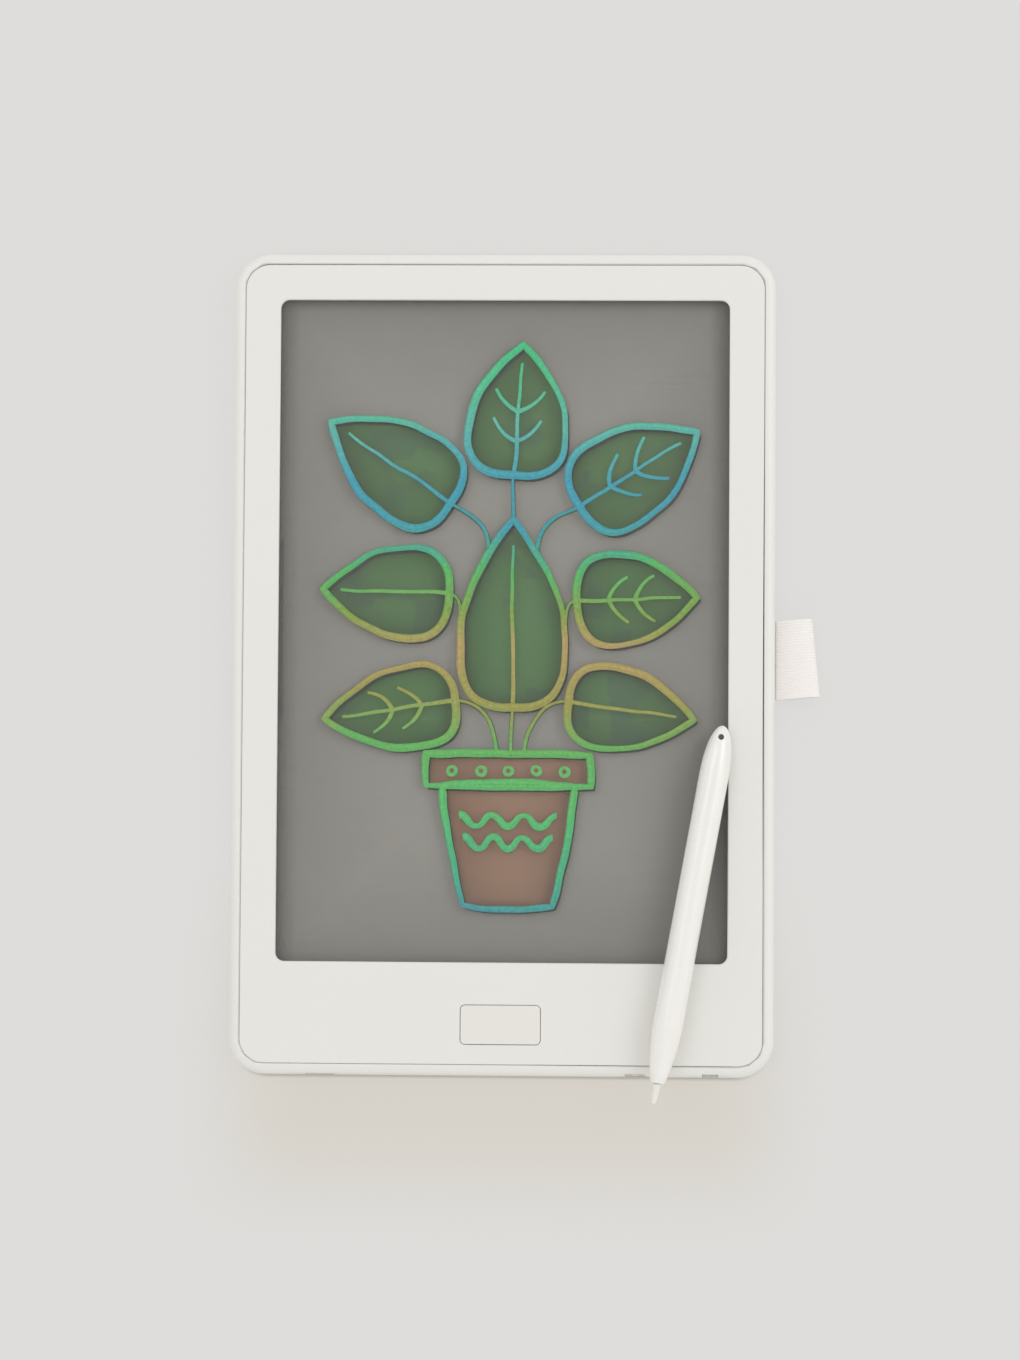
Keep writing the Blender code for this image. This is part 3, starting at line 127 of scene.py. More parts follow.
@dataclass(frozen=True, eq=False)
class Socket:
    """One output of a shader node, with arithmetic that adds Math nodes."""

    graph: "Graph"
    output: "bpy.types.NodeSocket | None"

    __add__ = arithmetic("ADD")
    __radd__ = arithmetic("ADD", swapped=True)
    __sub__ = arithmetic("SUBTRACT")
    __rsub__ = arithmetic("SUBTRACT", swapped=True)
    __mul__ = arithmetic("MULTIPLY")
    __rmul__ = arithmetic("MULTIPLY", swapped=True)
    __truediv__ = arithmetic("DIVIDE")
    __gt__ = arithmetic("GREATER_THAN")
    __lt__ = arithmetic("LESS_THAN")
    __abs__ = arithmetic("ABSOLUTE")
    wave = arithmetic("SINE")

    def swing(self, share: float) -> "Socket":
        """What self adds about its middle, a half, where it counts by a share."""
        return share * (self - HALF)

    def repeat(self, length: float) -> "Socket":
        """Self counted from the start of its own repeat, as a share of the repeat."""
        return self.graph.maths("FRACT", self / length)

    def within(self, low: float, high: float) -> "Socket":
        """One between low and high, and zero elsewhere."""
        return (self > low) * (self < high)

    def between(self, low: float, high: float) -> "Socket":
        """A smooth step from zero at low to one at high."""
        inputs = {0: self, 1: low, 2: high, 3: 0.0, 4: 1.0}
        return self.graph.node("MapRange", inputs, interpolation_type="SMOOTHSTEP")


@dataclass(frozen=True)
class Graph:
    """A procedural material, or a world, that is built node by node."""

    name: str
    home: ClassVar[str] = "materials"

    @cached_property
    def block(self) -> Any:
        """The data-block, whose node tree starts empty."""
        block = getattr(bpy.data, self.home).new(self.name)
        block.use_nodes = True
        block.node_tree.nodes.clear()
        return block

    @cached_property
    def place(self) -> Socket:
        """The piece's own coordinates."""
        return self.node("TexCoord", output="Object")

    def node(
        self, kind: str, inputs: dict[Any, Any] | None = None, output: Any = 0, **settings: Any
    ) -> Socket:
        """Add a node.

        Args:
            kind: The node's Blender type, less the words that all shader nodes start with.
            inputs: The values or links of its sockets.
            output: Which output to hand back.
            settings: Its settings.

        Returns:
            The chosen output.
        """
        tree = self.block.node_tree
        made = tree.nodes.new("ShaderNode" + kind)
        for key, value in settings.items():
            setattr(made, key, value)
        for key, value in (inputs or {}).items():
            socket = made.inputs[key]
            if isinstance(value, Socket):
                tree.links.new(value.output, socket)
            else:
                socket.default_value = (*value, 1.0) if socket.type == "RGBA" else value
        return Socket(self, made.outputs[output] if len(made.outputs) else None)

    def maths(self, operation: str, *values: Any) -> Socket:
        """Add a Math node on up to three values."""
        return self.node("Math", dict(enumerate(values)), operation=operation)

    def mapped(self, squash: float, turn: float = 0.0, vector: Socket | None = None) -> Socket:
        """The piece's own place, or another vector, turned about Z and scaled along its Y."""
        place = {"Vector": vector or self.place, "Rotation": (0.0, 0.0, turn)}
        inputs = {**place, "Scale": (1.0, squash, 1.0)}
        return self.node("Mapping", inputs, vector_type="POINT")

    def axis(self, name: str, vector: Socket | None = None) -> Socket:
        """One axis of the piece's own place, or of another vector."""
        return self.node("SeparateXYZ", {0: vector or self.place}, name)

    def beyond(self, half_width: float, half_length: float, corner: float) -> Socket:
        """How far a point lies outside a rounded rectangle about the origin, seen in plan.

        Args:
            half_width: The rectangle's half width.
            half_length: Its half length.
            corner: The radius of its corners.

        Returns:
            The distance, which is negative inside.
        """
        squares = []
        for name, half in (("X", half_width), ("Y", half_length)):
            over = self.maths("MAXIMUM", abs(self.axis(name)) - (half - corner), 0.0)
            squares.append(over * over)
        return self.maths("SQRT", squares[0] + squares[1]) - corner

    def noise(self, size: float, detail: float = 2.0, vector: Socket | None = None) -> Socket:
        """Smooth noise, about zero to one, by the size of its clouds and its finer layers."""
        inputs = {"Vector": vector or self.place, "Scale": 1 / size, "Detail": detail}
        return self.node("TexNoise", inputs, noise_dimensions="3D")

    def ramp(self, value: Socket, stops: Sequence[tuple[float, Colour]]) -> Socket:
        """A colour that runs through stops.

        Args:
            value: Where it is read, zero to one.
            stops: The places and colours, in order.

        Returns:
            The colour.
        """
        made = self.node("ValToRGB", {0: value})
        elements = made.output.node.color_ramp.elements
        elements.remove(elements[-1])
        elements[0].position = stops[0][0]
        elements[0].color = (*stops[0][1], 1.0)
        for place, colour in stops[1:]:
            elements.new(place).color = (*colour, 1.0)
        return made

    def mixed(self, share: Any, first: Any, second: Any) -> Socket:
        """A colour between two colours, by the share of the second."""
        inputs = {0: share, 6: first, 7: second}
        return self.node("Mix", inputs, 2, data_type="RGBA", clamp_factor=True)

    def toned(self, colour: Any, tone: Socket) -> Socket:
        """A colour made lighter or darker by a tone near one."""
        return self.node("VectorMath", {0: colour, "Scale": tone}, operation="SCALE")

    def bump(self, height: Socket, depth: float, under: Socket | None = None) -> Socket:
        """The normal of a relief of a depth, over another relief where one is given."""
        below = {} if under is None else {"Normal": under}
        return self.node("Bump", {"Height": height, "Distance": depth, "Strength": 1.0, **below})

    def plain_rays(self) -> Socket:
        """One for camera, glossy and transmission rays, which see the plain background."""
        camera, glossy, through = (
            self.node("LightPath", output=f"Is {kind} Ray")
            for kind in ("Camera", "Glossy", "Transmission")
        )
        return self.maths("MAXIMUM", self.maths("MAXIMUM", camera, glossy), through)

    def close(self, inputs: dict[str, Any]) -> None:
        """Close the material with a surface shader of the given values and links."""
        self.node("OutputMaterial", {"Surface": self.node("BsdfPrincipled", inputs)})


@dataclass(frozen=True)
class MouldedPlastic(Graph):
    """Moulded plastic with a fine spark-eroded grain and slight clouds in its tone.

    Flow streaks, where it has any, run along its Y axis turned clockwise by streak_turn. Painted
    shade darkens the walls of the seam round a recess of the given half width, half length and
    corner.
    """

    colour: Colour
    roughness: float
    grain: float = 0.35 * MM
    depth: float = 0.006 * MM
    mottle: float = 0.03
    coat: float = 0.0
    cloud_size: float = 45 * MM
    speck_grains: float = 8
    streaks: float = 0.0
    streak_turn: float = 0.0
    streak_size: float = 2.2 * MM
    streak_squash: float = 0.03
    recess: tuple[float, float, float] | None = None
    seam_shade: float = 0.88
    seam_shade_reach: tuple[float, float] = (-0.45 * MM, 0.05 * MM)
    seam_shade_levels: tuple[float, float] = (6.2 * MM, 8.0 * MM)

    def paint(self) -> None:
        """Build the material."""
        cloud = self.noise(self.cloud_size, 3.0)
        grain = self.noise(self.grain)
        specks = self.noise(self.speck_grains * self.grain, 3.0)
        tone = 1 + cloud.swing(self.mottle) + specks.swing(self.mottle)
        rough = self.roughness + cloud.swing(0.12) + grain.swing(0.08)
        if self.streaks > 0:
            flow = self.mapped(self.streak_squash, vector=self.mapped(1.0, self.streak_turn))
            streak = self.noise(self.streak_size, 3.0, flow).swing(self.streaks)
            tone, rough = tone + streak, rough + streak
        # Painted shade: the walls of the seam round the recess are darkened, where shade falls
        # between parts.
        if self.recess is not None:
            out, up = self.beyond(*self.recess), self.axis("Z")
            shaded_seam_walls = out.within(*self.seam_shade_reach) * up.within(*self.seam_shade_levels)
            tone = tone * (1 - self.seam_shade * shaded_seam_walls)
        self.close({
            "Base Color": self.toned(self.colour, tone),
            "Roughness": rough,
            "Normal": self.bump(grain, self.depth, self.bump(specks, 2 * self.depth)),
            "Coat Weight": self.coat,
            "Coat Roughness": 0.2,
        })


@dataclass(frozen=True)
class CrystalFilm(Graph):
    """The grey pressure film: see-through, slightly clouded, with faint rub marks.

    Towards the edges of its window, whose half width, low end and high end it knows, it is
    made denser as painted shade from the window's edges.
    """

    colour: Colour
    alpha: float
    roughness: float
    window: tuple[float, float, float]
    side_shade: float = 0.15
    end_shade: float = 0.01
    wide_shade: float = 0.07
    side_run: float = 7 * MM
    wide_run: float = 45 * MM
    rub_turn: float = math.radians(24.0)

    def paint(self) -> None:
        """Build the material."""
        cloud = self.noise(60 * MM, 4.0)
        domains = self.noise(0.7 * MM)
        rubs = self.noise(30 * MM, 4.0, self.mapped(30.0, self.rub_turn))
        half_width, low, high = self.window
        up = self.axis("Y")
        side = half_width - abs(self.axis("X"))
        end = self.maths("MINIMUM", up - low, high - up)
        # Painted shade: the film's alpha rises towards the window's edges, darkening it there.
        painted_wide_shade = 1 - self.maths("MINIMUM", side, end).between(0.0, self.wide_run)
        edge = self.side_shade * (1 - side.between(0.0, self.side_run))
        edge = edge + self.end_shade * (1 - end.between(0.0, self.side_run))
        alpha_with_painted_shade = self.alpha + self.wide_shade * painted_wide_shade + edge
        self.close({
            "Base Color": self.toned(self.colour, 1 + cloud.swing(0.20) + domains.swing(0.10)),
            "Alpha": alpha_with_painted_shade + cloud.swing(0.05) + rubs.swing(0.03),
            "Roughness": self.roughness + rubs.swing(0.14) + domains.swing(0.06),
            "Normal": self.bump(domains, 0.002 * MM),
        })


@dataclass(frozen=True)
class ClearSheet(Graph):
    """The clear plate behind the film."""

    colour: Colour = painted(226, 230, 228)

    def paint(self) -> None:
        """Build the material."""
        haze = self.noise(25 * MM, 4.0)
        self.close({
            "Base Color": self.toned(self.colour, 0.95 + 0.1 * haze),
            "Alpha": 0.02 + 0.03 * haze,
            "Roughness": 0.05 + 0.06 * haze,
        })


@dataclass(frozen=True)
class CardStock(Graph):
    """Matt coated card with a faint fibre."""

    colour: Colour
    fibre_turn: float = math.radians(20.0)

    def paint(self) -> None:
        """Build the material."""
        fibre = self.noise(1.2 * MM, 4.0, self.mapped(3.0, self.fibre_turn))
        cloud = self.noise(40 * MM, 3.0)
        self.close({
            "Base Color": self.toned(self.colour, 1 + fibre.swing(0.06) + cloud.swing(0.05)),
            "Roughness": 0.6 + fibre.swing(0.1),
            "Normal": self.bump(fibre, 0.01 * MM),
        })


@dataclass(frozen=True)
class PrintedInk(Graph):
    """Ink on the card, with darker patches brushed into it."""

    colour: Colour
    patch: Colour
    patch_share: float
    patch_size: float = 7 * MM

    def paint(self) -> None:
        """Build the material."""
        patches = self.node(
            "TexVoronoi", {"Vector": self.place, "Scale": 1 / self.patch_size, "Randomness": 0.8},
            "Color", feature="F1", distance="CHEBYCHEV",
        )
        region = self.noise(26 * MM, 1.0).between(0.5, 0.62)
        chosen = (self.axis("X", patches) > 0.45) * region
        wash = self.noise(12 * MM, 4.0)
        ink = self.mixed(chosen * self.patch_share, self.colour, self.patch)
        self.close({
            "Base Color": self.toned(ink, 1 + wash.swing(0.14)),
            "Roughness": 0.5 + wash.swing(0.1),
        })


@dataclass(frozen=True)
class WrittenLine(Graph):
    """A line written in the film, whose colour runs in bands down the screen."""

    strength: float
    veil: float
    low: float = -80 * MM
    high: float = 101 * MM
    bands: tuple[tuple[float, Colour], ...] = LINE_BANDS

    def paint(self) -> None:
        """Build the material."""
        drift = self.noise(34 * MM)
        height = (self.axis("Y") - self.low) / (self.high - self.low)
        colour = self.ramp(height + drift.swing(0.10), self.bands)
        brush = self.noise(1.1 * MM, 3.0)
        self.close({
            "Base Color": self.toned(colour, self.strength * (0.84 + 0.32 * brush)),
            "Alpha": self.veil + brush.swing(0.25),
            "Roughness": 0.32 + brush.swing(0.2),
        })


@dataclass(frozen=True)
class WovenRibbon(Graph):
    """Cream grosgrain ribbon: fine yarns over its ribs; between them it is darker and pinker,
    partly as painted shade in the grooves.
    """

    colour: Colour
    groove: Colour
    rib: float
    yarn: float = 0.30 * MM

    def paint(self) -> None:
        """Build the material."""
        weave = self.node("UVMap", uv_map=WEAVE)
        yarn = HALF + HALF * (self.axis("X", weave) * (math.tau / self.yarn)).wave()
        rib = HALF + HALF * (self.axis("Y", weave) * (math.tau / self.rib)).wave()
        fluff = self.noise(0.25 * MM, 4.0)
        cloud = self.noise(6 * MM)
        depth = 0.55 * rib + 0.25 * yarn + 0.20 * fluff
        # Partly painted shade: the grooves between the ribs take the darker, pinker colour and a
        # lower tone.
        thread = self.mixed(depth.between(0.15, 0.6), self.groove, self.colour)
        self.close({
            "Base Color": self.toned(thread, 0.96 + 0.06 * depth + cloud.swing(0.04)),
            "Roughness": 0.88 + fluff.swing(0.1),
            "Normal": self.bump(0.4 * yarn + 0.6 * fluff, 0.05 * MM),
            "Sheen Weight": 0.25,
            "Sheen Roughness": 0.5,
        })


@dataclass(frozen=True)
class BrushedSteel(Graph):
    """Plated steel with fine marks along one way."""

    colour: Colour
    roughness: float
    brush_turn: float = math.radians(35.0)

    def paint(self) -> None:
        """Build the material."""
        marks = self.noise(2.2 * MM, 4.0, self.mapped(14.0, self.brush_turn))
        self.close({
            "Base Color": self.toned(self.colour, 0.9 + 0.2 * self.noise(5 * MM)),
            "Metallic": 1.0,
            "Roughness": self.roughness + marks.swing(0.2),
            "Normal": self.bump(marks, 0.004 * MM),
        })


@dataclass(frozen=True)
class CircuitMask(Graph):
    """Green solder mask, lighter over its raised copper tracks, with bare pads."""

    mask: Colour
    over_track: Colour
    copper: Colour
    pitch: float = 1.6 * MM
    pad_pitch: float = 4.2 * MM

    def paint(self) -> None:
        """Build the material."""
        bend = 1.2 * MM * self.noise(14 * MM, 1.0)
        run = abs((self.axis("Y") + bend).repeat(self.pitch) - HALF)
        track = 1 - run.between(0.14, 0.2)
        spots = {"Vector": self.place, "Scale": 1 / self.pad_pitch}
        pad = 1 - self.node("TexVoronoi", spots, feature="F1").between(0.13, 0.16)
        green = self.mixed(track * 0.4, self.mask, self.over_track)
        self.close({
            "Base Color": self.mixed(pad, green, self.copper),
            "Metallic": pad,
            "Roughness": 0.42 - 0.12 * pad,
            "Normal": self.bump(track, 0.03 * MM),
        })


@dataclass(frozen=True)
class PrintedLead(Graph):
    """The film's flat lead: amber film over narrow copper lines."""

    amber: Colour
    copper: Colour
    pitch: float = 1.0 * MM

    def paint(self) -> None:
        """Build the material."""
        line = self.axis("X").repeat(self.pitch) - HALF
        track = 1 - abs(line).between(0.2, 0.26)
        cloud = self.noise(3 * MM)
        colour = self.mixed(track, self.amber, self.copper)
        self.close({
            "Base Color": self.toned(colour, 0.9 + 0.2 * cloud),
            "Roughness": 0.3 + 0.1 * cloud,
            "Normal": self.bump(track, 0.02 * MM),
        })


@dataclass(frozen=True)
class StudioFloor(Graph):
    """Smooth pale paper under the object, which keeps a soft part of the object's shadow.

    Its own plain light starts at the tablet's outline, half_size, and is full a fade away. A
    warm painted shadow spreads on the paper below the tablet.
    """

    colour: Colour
    shadow_colour: Colour
    half_size: tuple[float, float]
    glow: float = 0.88
    fade: float = 1.2 * MM
    side_lead: float = 0.65 * MM
    end_lag: float = 0.5 * MM
    corner: float = 11.4 * MM
    shadow_side: tuple[float, float] = (62 * MM, 108 * MM)
    shadow_start: tuple[float, float] = (60 * MM, 125 * MM)
    shadow_end: tuple[float, float] = (142 * MM, 188 * MM)
    cloud_size: float = 0.4

    def paint(self) -> None:
        """Build the material."""
        tooth = self.noise(1.5 * MM, 3.0)
        tone = 1 + tooth.swing(0.012) + self.noise(self.cloud_size).swing(0.02)
        across = abs(self.axis("X"))
        down = 0.0 - self.axis("Y")
        half_width, half_length = self.half_size
        out = self.beyond(half_width - self.side_lead, half_length + self.end_lag, self.corner)
        # Painted shadow: a warm, darker tone on the paper below the tablet, fading sideways and
        # downwards.
        below = down.between(*self.shadow_start) * (1 - down.between(*self.shadow_end))
        painted_shadow_share = below * (1 - across.between(*self.shadow_side))
        colour = self.mixed(painted_shadow_share, self.colour, self.shadow_colour)
        paper = self.node("BsdfPrincipled", {
            "Base Color": self.toned(colour, tone),
            "Roughness": 0.85 + tooth.swing(0.1),
            "Specular IOR Level": 0.0,
        })
        plain = self.node("Emission", {"Color": colour})
        seen = self.plain_rays() * out.between(0.0, self.fade) * self.glow
        mix = self.node("MixShader", {0: seen, 1: paper, 2: plain})
        self.node("OutputMaterial", {"Surface": mix})


@dataclass(frozen=True)
class SoftSky(Graph):
    """A sky that lights the object and shows as a plain backdrop."""

    home: ClassVar[str] = "worlds"
    colour: Colour = (1.0, 0.995, 0.985)
    backdrop: Colour = PAPER
    zenith: float = 0.60
    horizon: float = 1.18

    def paint(self) -> None:
        """Build the world."""
        up = self.axis("Z", self.node("TexCoord", output="Generated"))
        strength = self.node("MapRange", {0: up, 3: self.horizon, 4: self.zenith})
        lit = self.node("Background", {"Color": self.colour, "Strength": strength})
        shown = self.node("Background", {"Color": self.backdrop})
        mix = self.node("MixShader", {0: self.plain_rays(), 1: lit, 2: shown})
        self.node("OutputWorld", {"Surface": mix})


def paint_finishes() -> None:
    """Build every material of the model once; the pieces take them by name."""
    _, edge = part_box("front_bezel")
    _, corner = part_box("rear_shell")
    recess = (edge.x + SEAM_GAP, edge.y + SEAM_GAP, BEZEL_CORNER + SEAM_GAP)
    window = (71.5 * MM, -94.8 * MM, 115.7 * MM)
    for finish in (
        # The shell and the bezel carry painted shade on the walls of the seam round the recess.
        MouldedPlastic("white_shell_plastic", WHITE, 0.36, recess=recess),
        MouldedPlastic("white_bezel_plastic", WHITE, 0.44, mottle=0.02, recess=recess),
        MouldedPlastic("white_key_plastic", painted(229, 227, 221), 0.40, grain=0.25 * MM),
        MouldedPlastic(
            "warm_pen_plastic", painted(238, 236, 231), 0.24, 0.6 * MM, 0.001 * MM,
            mottle=0.015, coat=0.5, streaks=0.16, streak_turn=Stylus.turn,
        ),
        MouldedPlastic("pen_tip_plastic", painted(232, 230, 224), 0.34, 0.3 * MM, 0.003 * MM),
        # The knob's colour is lighter than the shell's white: painted light on a knob that sits in
        # its notch's shade.
        MouldedPlastic("lock_knob_plastic", painted(242, 238, 228), 0.4),
        CrystalFilm("grey_crystal_film", (0.12, 0.118, 0.110), 0.17, 0.24, window),
        ClearSheet("clear_support_sheet"),
        CardStock("grey_card_stock", (0.47, 0.45, 0.40)),
        PrintedInk("leaf_green_ink", (0.078, 0.275, 0.042), (0.050, 0.200, 0.058), 0.85),
        PrintedInk("clay_brown_ink", (0.56, 0.292, 0.168), (0.46, 0.235, 0.135), 0.3),
        PrintedInk("dark_line_ink", (0.022, 0.045, 0.040), (0.014, 0.030, 0.030), 0.4),
        WrittenLine("written_line", 0.90, 0.84),
        WrittenLine("written_line_core", 1.22, 0.60),
        WovenRibbon(
            "cream_grosgrain", painted(243, 239, 235), painted(240, 234, 230), PenLoop.rib
        ),
        BrushedSteel("plated_steel", (0.62, 0.61, 0.59), 0.3),
        BrushedSteel("spring_contact_steel", (0.70, 0.66, 0.56), 0.25),
        CircuitMask(
            "green_circuit_mask", (0.018, 0.15, 0.065), (0.0442, 0.295, 0.1335), (0.80, 0.62, 0.30)
        ),
        PrintedLead("amber_flat_lead", (0.50, 0.24, 0.05), (0.62, 0.34, 0.14)),
        MouldedPlastic("black_foam_tape", (0.02, 0.02, 0.02), 0.85, depth=0.03 * MM),
        MouldedPlastic("black_chip_resin", (0.018, 0.018, 0.02), 0.5),
        MouldedPlastic("tan_ceramic_body", (0.42, 0.30, 0.18), 0.45),
        MouldedPlastic("cream_socket_plastic", painted(224, 218, 200), 0.45),
        # The third colour is the painted warm shadow on the paper below the tablet.
        StudioFloor("pale_studio_paper", PAPER, painted(216, 211, 202), (corner.x, corner.y)),
    ):
        finish.paint()


def evaluated_mesh(item: bpy.types.Object) -> bpy.types.Mesh:
    """The mesh that an object's curve or modifiers make."""
    bpy.context.view_layer.update()
    shown = item.evaluated_get(bpy.context.evaluated_depsgraph_get())
    return bpy.data.meshes.new_from_object(shown)


def loose_object(name: str, data: Any) -> bpy.types.Object:
    """Link an object to the scene.

    Args:
        name: Its name.
        data: Its mesh, curve, light or camera.

    Returns:
        The object.
    """
    item = bpy.data.objects.new(name, data)
    bpy.context.scene.collection.objects.link(item)
    return item


def mesh_of(name: str, bm: bmesh.types.BMesh) -> bpy.types.Mesh:
    """Turn a bmesh into mesh data with its faces pointing out.

    Args:
        name: The mesh's name.
        bm: The bmesh, which is used up.

    Returns:
        The mesh.
    """
    bmesh.ops.recalc_face_normals(bm, faces=bm.faces)
    data = bpy.data.meshes.new(name)
    bm.to_mesh(data)
    bm.free()
    return data


def carved(name: str, bm: bmesh.types.BMesh, tool: bmesh.types.BMesh) -> bmesh.types.BMesh:
    """Cut one bmesh from another.

    Args:
        name: A name for the passing objects.
        bm: The body.
        tool: What is cut from it.

    Returns:
        The cut body.
    """
    body = loose_object(name, mesh_of(name, bm))
    cutter = loose_object(name + "_tool", mesh_of(name + "_tool", tool))
    cut = body.modifiers.new("cut", "BOOLEAN")
    cut.operation, cut.solver, cut.object = "DIFFERENCE", "EXACT", cutter
    result = bmesh.new()
    result.from_mesh(evaluated_mesh(body))
    for item in (body, cutter):
        bpy.data.objects.remove(item, do_unlink=True)
    return result


def bound_line(points: Sequence[Vector], steps: int) -> list[Vector]:
    """A smooth line through points.

    Args:
        points: The points that it passes through.
        steps: How many stretches each span gets.

    Returns:
        The line's points.
    """
    line = []
    padded = [points[0], *points, points[-1]]
    for before, start, end, after in zip(padded, padded[1:], padded[2:], padded[3:]):
        for step in range(steps):
            t = step / steps
            line.append(HALF * (
                2 * start + (end - before) * t
                + (2 * before - 5 * start + 4 * end - after) * t**2
                + (3 * start - before - 3 * end + after) * t**3
            ))
    return [*line, points[-1]]


def eased(seam: Seam, place: float) -> float:
    """How far out a seam moves its side.

    Args:
        seam: The seam.
        place: The place along it, in metres.

    Returns:
        The distance, in metres.
    """
    for (start, first), (end, last) in zip(seam, seam[1:]):
        if place < end * MM:
            share = max(place / MM - start, 0.0) / (end - start)
            return (first + (last - first) * share) * MM
    return seam[-1][1] * MM


@dataclass(frozen=True)
class Piece:
    """A finished piece that rides on a body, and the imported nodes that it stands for."""

    name: str
    finish: str
    body: Body
    slot: Slot = Slot.WHITE_PLASTIC
    nodes: tuple[str, ...] = ()

    def fit(self, bm: bmesh.types.BMesh, crisp: bool = False) -> bpy.types.Object:
        """Make the piece, shaded smooth.

        Args:
            bm: Its shape, which is used up.
            crisp: Whether its real edges are kept sharp and its flats flat.

        Returns:
            The piece.
        """
        data = mesh_of(self.name, bm)
        data.materials.clear()
        data.materials.append(bpy.data.materials[self.finish])
        data.shade_smooth()
        piece = loose_object(self.name, data)
        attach(piece, self.body.value)
        if self.nodes:
            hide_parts(*self.nodes)
        if crisp:
            data.set_sharp_from_angle(angle=SMOOTH_ANGLE)
            piece.modifiers.new("even_normals", "WEIGHTED_NORMAL").keep_sharp = True
        LOG.info("%s: %d faces on %s", self.name, len(data.polygons), self.body.value)
        return piece


@dataclass(frozen=True)
class Moulding(Piece):
    """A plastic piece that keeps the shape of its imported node, welded and shaded smooth.

    Its seams, to the left, right, bottom and top, close the gap round it: its outer side, above
    any flange that reaches out further by inset, stands out by what they give along it.
    """

    seams: tuple[Seam, ...] = ()
    inset: float = 0.0
    corner: float = 0.0
    above: float = 0.0
    side_reach: float = 0.25 * MM

    def close_seams(self, bm: bmesh.types.BMesh) -> None:
        """Move the outer side out, across a rounded outline.

        Args:
            bm: The welded shape.
        """
        low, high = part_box(self.nodes[0])
        middle = (low + high) / 2
        core = (high - low) / 2 - Vector((1, 1, 0)) * (self.inset + self.corner)
        left, right, bottom, top = self.seams
        for normal, seams in (((0, 1, 0), (left, right)), ((1, 0, 0), (bottom, top))):
            for place in sorted({place for seam in seams for place, _ in seam[1:]}):
                bmesh.ops.bisect_plane(
                    bm, geom=[*bm.verts, *bm.edges, *bm.faces], dist=WELD,
                    plane_co=Vector(normal) * (place * MM), plane_no=normal,
                )
        for vert in bm.verts:
            if vert.co.z < self.above:
                continue
            away = vert.co - middle
            over = Vector((max(abs(away.x) - core.x, 0.0), max(abs(away.y) - core.y, 0.0), 0.0))
            if over.length > self.corner - self.side_reach:
                way = over.normalized()
                side = eased(left if away.x < 0 else right, vert.co.y)
                end = eased(bottom if away.y < 0 else top, vert.co.x)
                vert.co.x += math.copysign(way.x * side, away.x)
                vert.co.y += math.copysign(way.y * end, away.y)

    def build(self) -> None:
        """Copy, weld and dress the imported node."""
        bm = bmesh.new()
        bm.from_mesh(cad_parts[self.nodes[0]].data)
        bmesh.ops.remove_doubles(bm, verts=bm.verts, dist=WELD)
        if self.seams:
            self.close_seams(bm)
        self.fit(bm, crisp=True)


@dataclass(frozen=True)
class Housing:
    """The shell, the bezel, the key, the battery door and the lock knob."""

    mouldings: tuple[Moulding, ...] = (
        Moulding("shell_moulding", "white_shell_plastic", Body.TABLET, nodes=("rear_shell",)),
        Moulding(
            "bezel_moulding", "white_bezel_plastic", Body.TABLET, nodes=("front_bezel",),
            seams=(
                ((52.0, 0.25), (64.0, 0.22)),
                (
                    (-90.0, 0.25), (-75.0, 0.24), (-60.0, 0.17), (-45.0, 0.09), (-30.0, 0.03),
                    (-14.0, 0.0), (0.0, 0.01), (16.0, 0.03), (32.0, 0.06), (54.0, 0.11),
                    (70.0, 0.17), (85.0, 0.19), (116.0, 0.21),
                ),
                ((-70.0, 0.235), (4.0, 0.235), (14.0, 0.19), (34.0, 0.18), (50.0, 0.21)),
                ((-60.0, 0.165), (-20.0, 0.19), (30.0, 0.18), (70.0, 0.20)),
            ),
            corner=BEZEL_CORNER,
        ),
        Moulding("battery_cover", "white_shell_plastic", Body.TABLET, nodes=("battery_door",)),
        Moulding(
            "erase_key", "white_key_plastic", Body.BUTTON, nodes=("erase_button",),
            seams=4 * (((0.0, 0.12),),), inset=1.2 * MM, corner=1.3 * MM, above=7.0 * MM,
        ),
        Moulding(
            "lock_knob", "lock_knob_plastic", Body.SLIDER, Slot.WARM_PLASTIC, ("lock_slider",)
        ),
    )

    def build(self) -> None:
        """Make every moulding."""
        for moulding in self.mouldings:
            moulding.build()


@dataclass(frozen=True)
class InnerParts:
    """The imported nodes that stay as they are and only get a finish, each after its finish."""

    dressed: tuple[tuple[str, ...], ...] = (
        ("grey_crystal_film", "lcd_film"),
        ("clear_support_sheet", "support_plate"),
        ("grey_card_stock", "picture_card"),
        ("black_foam_tape", "tape_frame"),
        ("amber_flat_lead", "lcd_tail"),
        ("green_circuit_mask", "circuit_board"),
        ("black_chip_resin", "control_chip", "tact_switch_body"),
        ("tan_ceramic_body", "chip_capacitor_1", "chip_capacitor_2", "chip_capacitor_3"),
        ("cream_socket_plastic", "tail_connector"),
        ("spring_contact_steel", "negative_contact", "positive_contact"),
        (
            "plated_steel", "coin_cell", "slide_switch_body", "tact_plunger", "door_screw",
            "board_screw_1", "board_screw_2",
            "shell_screw_1", "shell_screw_2", "shell_screw_3", "shell_screw_4",
        ),
    )
    see_through: tuple[str, ...] = ("lcd_film", "support_plate")

    def build(self) -> None:
        """Dress the nodes."""
        for finish, *names in self.dressed:
            for name in names:
                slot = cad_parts[name].material_slots[0]
                slot.link = "OBJECT"
                slot.material = bpy.data.materials[finish]
                LOG.info("%s: dressed as %s", name, finish)
        for name in self.see_through:
            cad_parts[name].visible_shadow = False


